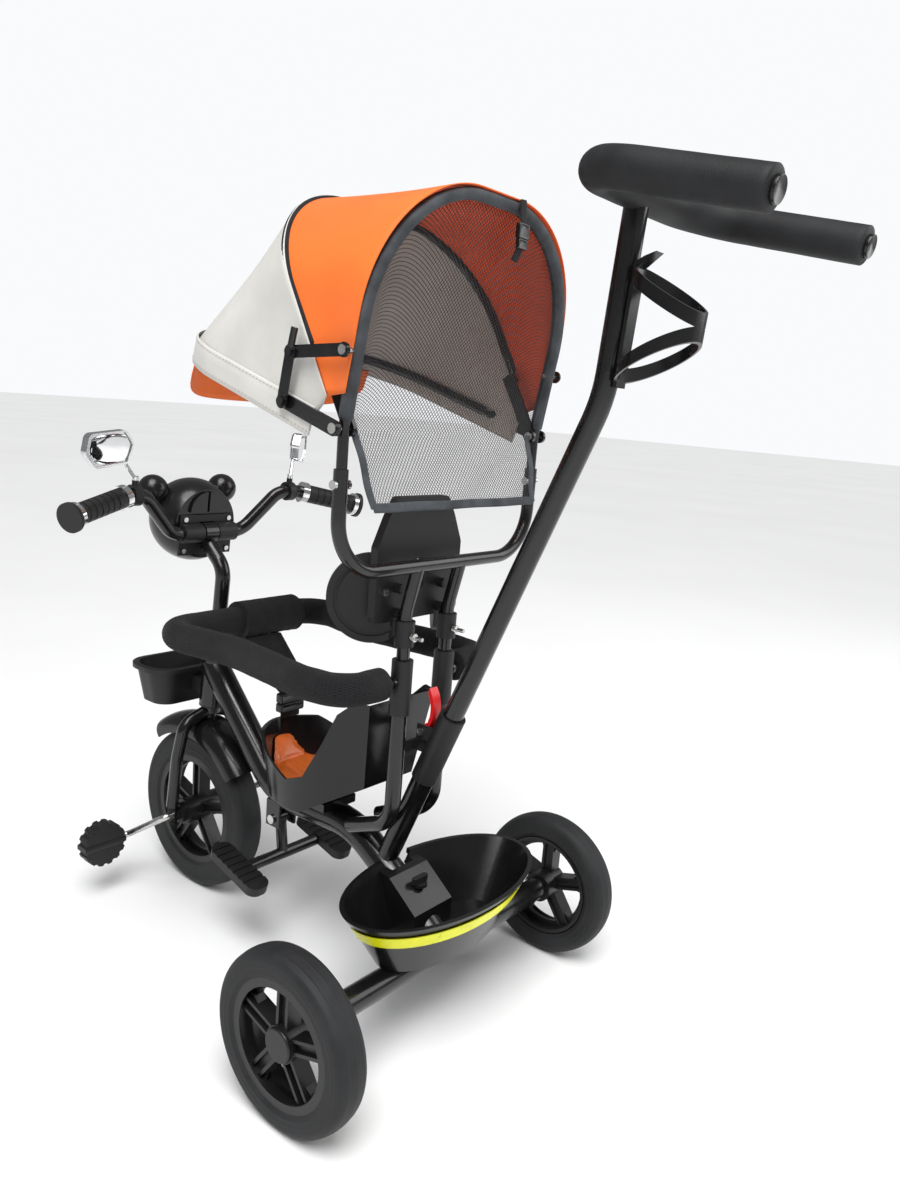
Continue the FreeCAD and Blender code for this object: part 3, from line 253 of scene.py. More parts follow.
def soften(piece: bpy.types.Object, width: float, segments: int = 3) -> None:
    """Round the edges of a hard piece.

    Args:
        piece: a mesh object.
        width: the bevel's width in metres.
        segments: how many faces make the round.
    """
    bevel = piece.modifiers.new("round", "BEVEL")
    bevel.width = width
    bevel.segments = segments
    bevel.limit_method = "ANGLE"
    apply_all(piece)
    smooth(piece)


def thicken(piece: bpy.types.Object, thickness: float, inner_slot: int = 0) -> None:
    """Give a sheet its wall, inwards from the surface that was laid out.

    Args:
        piece: an open sheet.
        thickness: the wall in metres.
        inner_slot: 1 when the inner face has a material of its own, such as the painted shade inside the canopy
            panels.
    """
    wall = piece.modifiers.new("wall", "SOLIDIFY")
    wall.thickness = thickness
    wall.offset = -1.0
    wall.use_even_offset = True
    wall.material_offset = inner_slot
    apply_all(piece)


def lay_surface(name: str, rows: list[Row], closed: bool = False,
                out_from: Vector | None = None) -> bpy.types.Object:
    """A surface laid out as rows of points, with a map in metres for its weave.

    Args:
        name: the piece's name.
        rows: rows of equal length.
        closed: whether each row joins up into a loop and the ends are filled.
        out_from: a point inside, that an open sheet's faces look away from.

    Returns:
        The mesh object.
    """
    across, along = len(rows[0]) - 1, len(rows) - 1
    clear_bench()
    bpy.ops.mesh.primitive_grid_add(x_subdivisions=across, y_subdivisions=along, size=2.0)
    piece = bpy.context.active_object
    piece.name = name
    piece.data.name = name
    mesh = piece.data
    cells = [(round((v.co.x + 1) / 2 * across), round((v.co.y + 1) / 2 * along)) for v in mesh.vertices]
    for vertex, (column, row) in zip(mesh.vertices, cells):
        vertex.co = rows[row][column]
    middle_row, middle_column = rows[along // 2], [row[across // 2] for row in rows]
    widths, heights = [0.0], [0.0]
    for before, after in zip(middle_row, middle_row[1:]):
        widths.append(widths[-1] + (after - before).length)
    for before, after in zip(middle_column, middle_column[1:]):
        heights.append(heights[-1] + (after - before).length)
    for loop, place in zip(mesh.loops, mesh.uv_layers.active.data):
        column, row = cells[loop.vertex_index]
        place.uv = (widths[column], heights[row])
    if closed:
        pick(piece)
        bpy.ops.object.mode_set(mode="EDIT")
        bpy.ops.mesh.select_all(action="SELECT")
        bpy.ops.mesh.remove_doubles(threshold=1e-6)
        bpy.ops.mesh.fill_holes(sides=0)
        bpy.ops.mesh.select_all(action="SELECT")
        bpy.ops.mesh.normals_make_consistent(inside=False)
        bpy.ops.object.mode_set(mode="OBJECT")
    elif out_from is not None:
        side = sum((face.center - out_from).dot(face.normal) * face.area for face in mesh.polygons)
        if side < 0:
            mesh.flip_normals()
    smooth(piece, 60.0)
    return piece


def sweep(name: str, path: Row, flat: Vector, section: list[tuple[float, float]], end: float = 0.0,
          swell: float = 0.0) -> bpy.types.Object:
    """A closed bar that follows a path lying in one plane.

    Args:
        name: the piece's name.
        path: points along the middle.
        flat: the normal of the plane that the path lies in.
        section: (sideways, along flat) points of the cross-section, in metres.
        end: how far each rounded end reaches past the path.
        swell: how much the section varies at random along the path.

    Returns:
        The mesh object.
    """
    normal = flat.normalized()
    loop = section + [section[0]]
    rows: list[Row] = []

    def ring(centre: Vector, ahead: Vector, size: float) -> Row:
        """One cross-section at a point.

        Args:
            centre: its middle.
            ahead: the direction of the path there.
            size: its scale.

        Returns:
            The points of the cross-section.
        """
        sideways = normal.cross(ahead).normalized()
        made = []
        for a, b in loop:
            place = centre + (sideways * a + normal * b) * size
            made.append(place + (place - centre) * swell * noise.noise(place * 45.0))
        return made

    first, last = (path[1] - path[0]).normalized(), (path[-1] - path[-2]).normalized()
    if end:
        rows += [ring(path[0] - first * end * reach, first, size) for reach,
                 size in ((1, 0.55), (0.8, 0.8), (0.4, 0.95))]
    for index, centre in enumerate(path):
        ahead = path[min(index + 1, len(path) - 1)] - path[max(index - 1, 0)]
        rows.append(ring(centre, ahead.normalized(), 1.0))
    if end:
        rows += [ring(path[-1] + last * end * reach, last, size) for reach,
                 size in ((0.4, 0.95), (0.8, 0.8), (1, 0.55))]
    return lay_surface(name, rows, closed=True)


def oval(sideways: float, along: float, count: int = 20, power: float = 1.0) -> list[tuple[float, float]]:
    """An oval or rounded-box cross-section.

    Args:
        sideways: its half width in metres.
        along: its half height in metres.
        count: how many points.
        power: 1 for an ellipse, smaller for a squarer outline.

    Returns:
        The points in order.
    """
    made = []
    for index in range(count):
        angle = 2 * math.pi * index / count
        c, s = math.cos(angle), math.sin(angle)
        made.append((sideways * math.copysign(abs(c) ** power, c),
                     along * math.copysign(abs(s) ** power, s)))
    return made


def block(name: str, low: Vector, high: Vector) -> bpy.types.Object:
    """A box between two corners, to be shaped further.

    Args:
        name: the piece's name.
        low: its lowest corner.
        high: its highest corner.

    Returns:
        The mesh object.
    """
    clear_bench()
    bpy.ops.mesh.primitive_cube_add(size=1.0, location=(low + high) / 2)
    piece = bpy.context.active_object
    piece.scale = high - low
    piece.name = name
    piece.data.name = name
    return settle(piece)


def inset_facing(piece: bpy.types.Object, facing: Vector, border: float, depth: float) -> None:
    """Sink a panel into the faces that look one way.

    Args:
        piece: a mesh object.
        facing: the direction that the faces look.
        border: the width of the rim left around the panel.
        depth: how deep the panel lies.
    """
    pick(piece)
    bpy.ops.object.mode_set(mode="EDIT")
    bpy.ops.mesh.select_all(action="DESELECT")
    bpy.ops.object.mode_set(mode="OBJECT")
    for face in piece.data.polygons:
        face.select = face.normal.dot(facing) > 0.95
    bpy.ops.object.mode_set(mode="EDIT")
    bpy.ops.mesh.select_mode(type="FACE")
    bpy.ops.mesh.inset(thickness=border, depth=-depth)
    bpy.ops.object.mode_set(mode="OBJECT")


def join(name: str, pieces: list[bpy.types.Object]) -> bpy.types.Object:
    """Make several meshes into one piece.

    Args:
        name: the new piece's name.
        pieces: mesh objects.

    Returns:
        The joined piece.
    """
    clear_bench()
    for piece in pieces:
        piece.select_set(True)
    bpy.context.view_layer.objects.active = pieces[0]
    bpy.ops.object.join()
    pieces[0].name = name
    pieces[0].data.name = name
    return pieces[0]


def dress(piece: bpy.types.Object, *finishes: object) -> None:
    """Give a piece its materials.

    Args:
        piece: a mesh object.
        finishes: its finishes, in slot order.
    """
    piece.data.materials.clear()
    for finish in finishes:
        piece.data.materials.append(FINISHES.get(finish))


def fit(piece: bpy.types.Object, slot: str, body: str, *finishes: object) -> bpy.types.Object:
    """Dress a piece and let it ride on a body.

    Args:
        piece: a mesh object.
        slot: the record's material slot; not used.
        body: the body that carries it.
        finishes: its finishes, in slot order.

    Returns:
        The same piece.
    """
    dress(piece, *finishes)
    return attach(piece, body)


def declare_sheet(rows: list[Row]) -> None:
    """Measure a sheet's width, length and area; nothing is kept.

    Args:
        rows: the surface that it was laid out on.
    """
    width = max(sum((b - a).length for a, b in zip(row, row[1:])) for row in rows)
    columns = list(zip(*rows))
    length = max(sum((b - a).length for a, b in zip(column, column[1:])) for column in columns)
    area = 0.0
    for low, high in zip(rows, rows[1:]):
        for a, b, c, d in zip(low, low[1:], high, high[1:]):
            area += 0.5 * (b - a).cross(c - a).length + 0.5 * (c - d).cross(b - d).length
    area = min(area, 0.999 * width * length)


# ---- finishes ------------------------------------------------------------------------------------
class Bench:
    """The nodes of one material, wired from textures to its shader."""

    def __init__(self, name: str) -> None:
        """Start a material with a shader and an output.

        Args:
            name: the material's name.
        """
        self.material = bpy.data.materials.new(name)
        self.material.use_nodes = True
        self.tree = self.material.node_tree
        self.tree.nodes.clear()
        self.shader = self.tree.nodes.new("ShaderNodeBsdfPrincipled")
        output = self.tree.nodes.new("ShaderNodeOutputMaterial")
        self.tree.links.new(self.shader.outputs[0], output.inputs[0])

    def feed(self, socket: bpy.types.NodeSocket, value: object) -> None:
        """Link a socket, or set its constant."""
        if isinstance(value, bpy.types.NodeSocket):
            self.tree.links.new(value, socket)
        else:
            socket.default_value = value

    def set(self, **values: object) -> None:
        """Set or link the shader's sockets, named with _ for each space."""
        for key, value in values.items():
            self.feed(self.shader.inputs[key.replace("_", " ")], value)

    def math(self, operation: str, first: object, second: object = 0.0,
             third: object = 0.0) -> bpy.types.NodeSocket:
        """One step of arithmetic.

        Args:
            operation: the node's operation.
            first: a socket or number.
            second: a socket or number.
            third: a socket or number.

        Returns:
            The result.
        """
        node = self.tree.nodes.new("ShaderNodeMath")
        node.operation = operation
        for socket, value in zip(node.inputs, (first, second, third)):
            self.feed(socket, value)
        return node.outputs[0]

    def place(self, centre: Vector = Vector(),
              stretch: tuple[float, float, float] = (1, 1, 1)) -> bpy.types.NodeSocket:
        """Object coordinates about a centre, stretched along each axis.

        Args:
            centre: the point that becomes zero.
            stretch: the factor on each axis.

        Returns:
            The coordinates.
        """
        source = self.tree.nodes.new("ShaderNodeTexCoord")
        mapping = self.tree.nodes.new("ShaderNodeMapping")
        self.tree.links.new(source.outputs["Object"], mapping.inputs["Vector"])
        mapping.inputs["Scale"].default_value = stretch
        mapping.inputs["Location"].default_value = [-c * s for c, s in zip(centre, stretch)]
        return mapping.outputs[0]

    def cloth_map(self) -> bpy.types.NodeSocket:
        """The piece's own map, in metres."""
        return self.tree.nodes.new("ShaderNodeUVMap").outputs[0]

    def split(self, vector: bpy.types.NodeSocket) -> tuple[bpy.types.NodeSocket, ...]:
        """A vector's three parts.

        Args:
            vector: a vector socket.

        Returns:
            Its X, Y and Z.
        """
        node = self.tree.nodes.new("ShaderNodeSeparateXYZ")
        self.tree.links.new(vector, node.inputs[0])
        return tuple(node.outputs)

    def noise(self, vector: bpy.types.NodeSocket, scale: float,
              detail: float = 3.0) -> bpy.types.NodeSocket:
        """Cloudy noise from 0 to 1.

        Args:
            vector: where to look it up.
            scale: its size, larger is finer.
            detail: how many finer layers.

        Returns:
            The value.
        """
        node = self.tree.nodes.new("ShaderNodeTexNoise")
        self.feed(node.inputs["Vector"], vector)
        node.inputs["Scale"].default_value = scale
        node.inputs["Detail"].default_value = detail
        return node.outputs[0]

    def cells(self, vector: bpy.types.NodeSocket, scale: float,
              feature: str = "F1") -> bpy.types.NodeSocket:
        """Distance within a pattern of cells.

        Args:
            vector: where to look it up.
            scale: cells per metre.
            feature: the kind of distance.

        Returns:
            The distance.
        """
        node = self.tree.nodes.new("ShaderNodeTexVoronoi")
        node.feature = feature
        self.feed(node.inputs["Vector"], vector)
        node.inputs["Scale"].default_value = scale
        return node.outputs["Distance"]

    def shades(self, factor: bpy.types.NodeSocket, low: Colour, high: Colour, start: float = 0.3,
               stop: float = 0.7) -> bpy.types.NodeSocket:
        """A colour between two, by a factor.

        Args:
            factor: from 0 to 1.
            low: the colour at start.
            high: the colour at stop.
            start: the factor where the change starts.
            stop: the factor where it ends.

        Returns:
            The colour.
        """
        ramp = self.tree.nodes.new("ShaderNodeValToRGB")
        ramp.color_ramp.elements[0].position = start
        ramp.color_ramp.elements[0].color = low
        ramp.color_ramp.elements[1].position = stop
        ramp.color_ramp.elements[1].color = high
        self.tree.links.new(factor, ramp.inputs[0])
        return ramp.outputs[0]

    def between(self, factor: bpy.types.NodeSocket, low: float, high: float) -> bpy.types.NodeSocket:
        """A number between two, by a factor from 0 to 1."""
        return self.math("MULTIPLY_ADD", factor, high - low, low)

    def emboss(self, height: bpy.types.NodeSocket, strength: float, depth: float) -> None:
        """Raise the surface by a height texture.

        Args:
            height: from 0 to 1.
            strength: how much of it shows.
            depth: the height of 1, in metres.
        """
        node = self.tree.nodes.new("ShaderNodeBump")
        node.inputs["Strength"].default_value = strength
        node.inputs["Distance"].default_value = depth
        self.tree.links.new(height, node.inputs["Height"])
        self.set(Normal=node.outputs[0])


def tint(colour: Colour, factor: float) -> Colour:
    """A colour made lighter or darker."""
    return (*(min(1.0, part * factor) for part in colour[:3]), 1.0)


@dataclass(frozen=True)
class GlossPaint:
    """Baked gloss paint on steel tube, with orange peel and fine dust."""

    name: str = "gloss_black_paint"
    colour: Colour = (0.0055, 0.0055, 0.006, 1)
    roughness: float = 0.16

    def make(self) -> bpy.types.Material:
        """Wire the material.

        Returns:
            The material.
        """
        bench = Bench(self.name)
        place = bench.place()
        dust = bench.noise(place, 38.0, 6.0)
        peel = bench.noise(place, 420.0, 1.0)
        bench.set(Base_Color=bench.shades(dust, self.colour, tint(self.colour, 1.7)),
                  Roughness=bench.between(dust, self.roughness - 0.06, self.roughness + 0.16),
                  Specular_IOR_Level=0.4, Coat_Weight=0.2, Coat_Roughness=0.08)
        bench.emboss(peel, 0.12, 0.0006)
        return bench.material


@dataclass(frozen=True)
class MouldedPlastic:
    """Moulded plastic with a fine spark-eroded grain and rubbed patches."""

    name: str = "grained_black_plastic"
    colour: Colour = (0.0095, 0.0095, 0.01, 1)
    roughness: float = 0.46
    grain: float = 1500.0
    depth: float = 0.0002

    def make(self) -> bpy.types.Material:
        """Wire the material.

        Returns:
            The material.
        """
        bench = Bench(self.name)
        place = bench.place()
        rubbed = bench.noise(place, 22.0, 5.0)
        grain = bench.cells(place, self.grain)
        bench.set(Base_Color=bench.shades(rubbed, tint(self.colour, 0.85), tint(self.colour, 1.35)),
                  Roughness=bench.between(rubbed, self.roughness - 0.09,
                                          self.roughness + 0.1), Specular_IOR_Level=0.38)
        bench.emboss(grain, 0.35, self.depth)
        return bench.material


@dataclass(frozen=True)
class PlatedMetal:
    """Plated metal, polished or zinc-bright, with faint brushing and clouding."""

    name: str = "bright_zinc"
    colour: Colour = (0.62, 0.62, 0.6, 1)
    roughness: float = 0.28

    def make(self) -> bpy.types.Material:
        """Wire the material.

        Returns:
            The material.
        """
        bench = Bench(self.name)
        cloud = bench.noise(bench.place(), 90.0, 5.0)
        brushed = bench.noise(bench.place(stretch=(1.0, 14.0, 14.0)), 160.0, 2.0)
        bench.set(Base_Color=bench.shades(cloud, tint(self.colour, 0.82), tint(self.colour, 1.06)),
                  Metallic=1.0,
                  Roughness=bench.between(cloud, self.roughness * 0.6, self.roughness * 1.3))
        bench.emboss(brushed, 0.08, 0.0002)
        return bench.material


@dataclass(frozen=True)
class TyreRubber:
    """Foamed tyre, matte, with moulded rings on its wall and a scuffed tread."""

    name: str
    centre: Vector
    half_width: float
    colour: Colour = (0.015, 0.0155, 0.0165, 1)

    def make(self) -> bpy.types.Material:
        """Wire the material.

        Returns:
            The material.
        """
        bench = Bench(self.name)
        place = bench.place(self.centre)
        across, back, up = bench.split(place)
        squares = bench.math("ADD", bench.math("MULTIPLY", back, back), bench.math("MULTIPLY", up, up))
        reach = bench.math("SQRT", squares)
        ring_wave = bench.math("SINE", bench.math("MULTIPLY", reach, 240.0))
        rings = bench.math("POWER", bench.math("ABSOLUTE", ring_wave), 14.0)
        tread_wave = bench.math("COSINE", bench.math("MULTIPLY", across, 290.0))
        tread = bench.math("POWER", bench.math("ABSOLUTE", tread_wave), 20.0)
        on_tread = bench.math("LESS_THAN", bench.math("ABSOLUTE", across), self.half_width * 0.72)
        lines = bench.math("ADD", bench.math("MULTIPLY", tread, on_tread),
                           bench.math("MULTIPLY", rings, bench.math("SUBTRACT", 1.0, on_tread)))
        scuff = bench.noise(place, 30.0, 7.0)
        pores = bench.noise(place, 900.0, 2.0)
        bench.set(Base_Color=bench.shades(scuff, tint(self.colour, 0.75), tint(self.colour, 1.55)),
                  Roughness=bench.between(scuff, 0.5, 0.75), Specular_IOR_Level=0.3)
        bench.emboss(bench.math("MULTIPLY_ADD", lines, 0.7, bench.math("MULTIPLY", pores, 0.3)), 0.55,
                     0.0008)
        return bench.material


@dataclass(frozen=True)
class KnitCover:
    """Ribbed net knit over foam, in small six-sided cells that follow the piece's own map."""

    name: str = "black_knit"
    colour: Colour = (0.0075, 0.0075, 0.0085, 1)
    cell: float = 0.0042

    def make(self) -> bpy.types.Material:
        """Wire the material.

        Returns:
            The material.
        """
        bench = Bench(self.name)
        across, along, _ = bench.split(bench.cloth_map())
        turn = 2 * math.pi / self.cell
        first = bench.math("SINE", bench.math("MULTIPLY", bench.math("ADD", across, along), turn * 0.7))
        second = bench.math("SINE", bench.math("MULTIPLY", bench.math("SUBTRACT", across, along),
                                               turn * 0.7))
        cells = bench.math("ABSOLUTE", bench.math("MULTIPLY", first, second))
        lint = bench.noise(bench.place(), 55.0, 5.0)
        height = bench.math("SUBTRACT", 1.0, cells)
        # The colour follows the knit's height as well as its lint: painted shade in the cell holes.
        bench.set(Base_Color=bench.shades(bench.math("MULTIPLY_ADD", lint, 0.3,
                                                     bench.math("MULTIPLY", height, 0.7)),
                                          tint(self.colour, 0.55), tint(self.colour, 2.1), 0.1, 0.9),
                  Roughness=0.85, Specular_IOR_Level=0.2, Sheen_Weight=0.06, Sheen_Roughness=0.5)
        bench.emboss(height, 0.9, 0.0011)
        return bench.material


@dataclass(frozen=True)
class Webbing:
    """Woven tape with fine cross ribs."""

    name: str = "black_webbing"
    colour: Colour = (0.008, 0.008, 0.009, 1)
    rib: float = 0.0016

    def make(self) -> bpy.types.Material:
        """Wire the material.

        Returns:
            The material.
        """
        bench = Bench(self.name)
        across, along, _ = bench.split(bench.cloth_map())
        ribs = bench.math("SINE", bench.math("MULTIPLY", across, 2 * math.pi / self.rib))
        yarns = bench.math("SINE", bench.math("MULTIPLY", along, 2 * math.pi / (self.rib * 1.4)))
        weave = bench.math("MULTIPLY_ADD", bench.math("MULTIPLY", ribs, yarns), 0.5, 0.5)
        wear = bench.noise(bench.place(), 40.0, 5.0)
        bench.set(Base_Color=bench.shades(wear, tint(self.colour, 0.8), tint(self.colour, 1.9)),
                  Roughness=0.72,
                  Specular_IOR_Level=0.25, Sheen_Weight=0.04)
        bench.emboss(weave, 0.6, 0.0005)
        return bench.material


@dataclass(frozen=True)
class CanopyCloth:
    """Coated polyester with an even plain weave, soft creases and slight clouding."""

    name: str
    colour: Colour
    thread: float = 0.0011
    roughness: float = 0.62

    def make(self) -> bpy.types.Material:
        """Wire the material.

        Returns:
            The material.
        """
        bench = Bench(self.name)
        cloth = bench.cloth_map()
        across, along, _ = bench.split(cloth)
        turn = 2 * math.pi / self.thread
        warp = bench.math("SINE", bench.math("MULTIPLY", across, turn))
        weft = bench.math("SINE", bench.math("MULTIPLY", along, turn))
        weave = bench.math("MULTIPLY_ADD", bench.math("MULTIPLY", warp, weft), 0.5, 0.5)
        cloud = bench.noise(bench.place(), 14.0, 6.0)
        crease = bench.noise(bench.place(stretch=(1.0, 2.2, 1.0)), 26.0, 3.0)
        height = bench.math("MULTIPLY_ADD", crease, 0.85, bench.math("MULTIPLY", weave, 0.15))
        bench.set(Base_Color=bench.shades(cloud, tint(self.colour, 0.9), tint(self.colour, 1.06)),
                  Roughness=bench.between(cloud, self.roughness - 0.08, self.roughness + 0.1),
                  Sheen_Weight=0.12, Sheen_Roughness=0.4)
        bench.emboss(height, 0.5, 0.0016)
        return bench.material


@dataclass(frozen=True)
class OpenNet:
    """Open net of crossing strands with clear holes between them."""

    name: str = "black_open_net"
    colour: Colour = (0.012, 0.012, 0.014, 1)
    pitch: float = 0.0052
    strand: float = 0.17

    def make(self) -> bpy.types.Material:
        """Wire the material.

        Returns:
            The material.
        """
        bench = Bench(self.name)
        across, along, _ = bench.split(bench.cloth_map())
        lines = []
        for operation in ("ADD", "SUBTRACT"):
            run = bench.math("DIVIDE", bench.math(operation, across, along), self.pitch)
            lines.append(bench.math("LESS_THAN", bench.math("FRACT", run), self.strand))
        strands = bench.math("MAXIMUM", *lines)
        lint = bench.noise(bench.place(), 60.0, 3.0)
        bench.set(Base_Color=bench.shades(lint, tint(self.colour, 0.7), tint(self.colour, 1.8)),
                  Roughness=0.7,
                  Alpha=strands)
        bench.emboss(strands, 0.4, 0.0003)
        return bench.material


@dataclass(frozen=True)
class SeatCover:
    """Smooth glossy padded cover with a leather-like grain and fine wrinkles."""

    name: str = "orange_seat_cover"
    colour: Colour = (0.78, 0.16, 0.022, 1)

    def make(self) -> bpy.types.Material:
        """Wire the material.

        Returns:
            The material.
        """
        bench = Bench(self.name)
        place = bench.place()
        grain = bench.cells(place, 620.0, "DISTANCE_TO_EDGE")
        wrinkle_and_painted_shade = bench.noise(bench.place(stretch=(1.0, 0.4, 1.0)), 70.0, 4.0)
        # The colour follows the wrinkle height, which paints shade into the wrinkle valleys.
        bench.set(Base_Color=bench.shades(wrinkle_and_painted_shade, tint(self.colour, 0.82), tint(self.colour, 1.1)),
                  Roughness=bench.between(wrinkle_and_painted_shade, 0.26, 0.44), Coat_Weight=0.25, Coat_Roughness=0.2)
        bench.emboss(bench.math("MULTIPLY_ADD", grain, 0.5, bench.math("MULTIPLY", wrinkle_and_painted_shade, 0.8)), 0.4,
                     0.0009)
        return bench.material


@dataclass(frozen=True)
class FoamSleeve:
    """Closed-cell foam sleeve: matte, with fine pores and faint rub marks."""

    name: str = "black_foam"
    colour: Colour = (0.012, 0.0125, 0.0135, 1)

    def make(self) -> bpy.types.Material:
        """Wire the material.

        Returns:
            The material.
        """
        bench = Bench(self.name)
        place = bench.place()
        rubbed = bench.noise(place, 26.0, 6.0)
        pores = bench.cells(place, 1100.0)
        bench.set(Base_Color=bench.shades(rubbed, tint(self.colour, 0.8), tint(self.colour, 1.6)),
                  Roughness=bench.between(rubbed, 0.5, 0.7), Specular_IOR_Level=0.3)
        bench.emboss(pores, 0.5, 0.0004)
        return bench.material


@dataclass(frozen=True)
class MirrorPane:
    """Silvered pane with faint smears."""

    name: str = "silvered_pane"
    colour: Colour = (0.86, 0.87, 0.88, 1)

    def make(self) -> bpy.types.Material:
        """Wire the material.

        Returns:
            The material.
        """
        bench = Bench(self.name)
        smear = bench.noise(bench.place(stretch=(1.0, 1.0, 0.3)), 60.0, 4.0)
        bench.set(Base_Color=bench.shades(smear, tint(self.colour, 0.94), self.colour), Metallic=1.0,
                  Roughness=bench.between(smear, 0.01, 0.07))
        bench.emboss(smear, 0.03, 0.0003)
        return bench.material


@dataclass
class Finishes:
    """Every finish on the tricycle, made once."""

    made: dict[str, bpy.types.Material] = field(default_factory=dict)

    def get(self, finish: object) -> bpy.types.Material:
        """A finish's material, made on first use."""
        if finish.name not in self.made:
            self.made[finish.name] = finish.make()
        return self.made[finish.name]


FINISHES = Finishes()
PAINT = GlossPaint()
GRAINED = MouldedPlastic()
SMOOTH_BLACK = MouldedPlastic("smooth_black_plastic", (0.007, 0.007, 0.0075, 1), 0.2, 700.0, 0.00005)
WHEEL_PLASTIC = MouldedPlastic("wheel_plastic", (0.008, 0.008, 0.0085, 1), 0.34, 1100.0, 0.00012)
ZINC = PlatedMetal()
CHROME = PlatedMetal("polished_chrome", (0.82, 0.82, 0.83, 1), 0.09)
SILVER_SHELL = PlatedMetal("silvered_shell", (0.74, 0.75, 0.76, 1), 0.2)
RED = MouldedPlastic("red_lever_plastic", (0.55, 0.012, 0.014, 1), 0.22, 800.0, 0.00006)
YELLOW = MouldedPlastic("yellow_band", (0.82, 0.86, 0.0, 1), 0.28, 500.0, 0.0001)
KNIT = KnitCover()
WEBBING = Webbing()
BINDING = Webbing("dark_grey_binding", (0.04, 0.044, 0.049, 1), 0.0014)
TAPE = Webbing("black_inner_tape", (0.008, 0.008, 0.009, 1), 0.0015)
ORANGE = CanopyCloth("orange_canopy_cloth", (0.93, 0.165, 0.012, 1))
# A darker copy of the orange cloth for the rear panel's inner face: painted shade.
ORANGE_INNER_SHADE = CanopyCloth("orange_inner_painted_shade", (0.78, 0.085, 0.01, 1), 0.0011, 0.8)
PALE = CanopyCloth("pale_grey_canopy_cloth", (0.63, 0.62, 0.585, 1))
# A darker, warmer copy of the pale cloth: painted shade on the inner faces of the front panel and the hem. The hem
# stitches also take it as their thread colour.
PALE_SHADE_AND_THREAD = CanopyCloth("pale_grey_painted_shade_and_thread", (0.46, 0.42, 0.38, 1), 0.0011, 0.85)
NET = OpenNet()
SEAT = SeatCover()
FOAM = FoamSleeve()
PANE = MirrorPane()

SLOT_FINISH = {
    "frame_black": PAINT, "plastic_black": GRAINED, "gloss_black": SMOOTH_BLACK,
    "chrome": CHROME, "zinc": ZINC,
    "foam": FOAM, "webbing": WEBBING, "canopy_orange": ORANGE, "canopy_white": PALE, "canopy_mesh": NET,
    "seat_orange": SEAT, "lever_red": RED, "band_yellow": YELLOW, "mirror_glass": SILVER_SHELL,
}
NODE_FINISH = {
    "front_rim": WHEEL_PLASTIC, "rear_rim_left": WHEEL_PLASTIC, "rear_rim_right": WHEEL_PLASTIC,
    "seat_shell": SMOOTH_BLACK, "bottle_cage": SMOOTH_BLACK, "rear_basket": SMOOTH_BLACK,
    "front_tyre": TyreRubber("front_tyre_rubber", Vector((0, FRONT_AXLE.y, FRONT_AXLE.z)), 0.022),
    "rear_tyre_left": TyreRubber("left_tyre_rubber", REAR_AXLE.copy(), 0.0205),
    "rear_tyre_right": TyreRubber("right_tyre_rubber", Vector((-REAR_AXLE.x, REAR_AXLE.y, REAR_AXLE.z)),
                                  0.0205),
}


@dataclass
class CarriedNodes:
    """The hard pieces that keep their own shape and get their finish here."""

    def build(self) -> None:
        """Dress every node from its slot or its own finish."""
        slots = {part["node"]: part["material_slot"] for part in frame["record"]["subparts"]}
        for name, node in frame["nodes"].items():
            slot = slots[name]
            finish = NODE_FINISH.get(name) or SLOT_FINISH[slot]
            dress(node, finish)
        LOG.info("dressed %d carried nodes", len(frame["nodes"]))


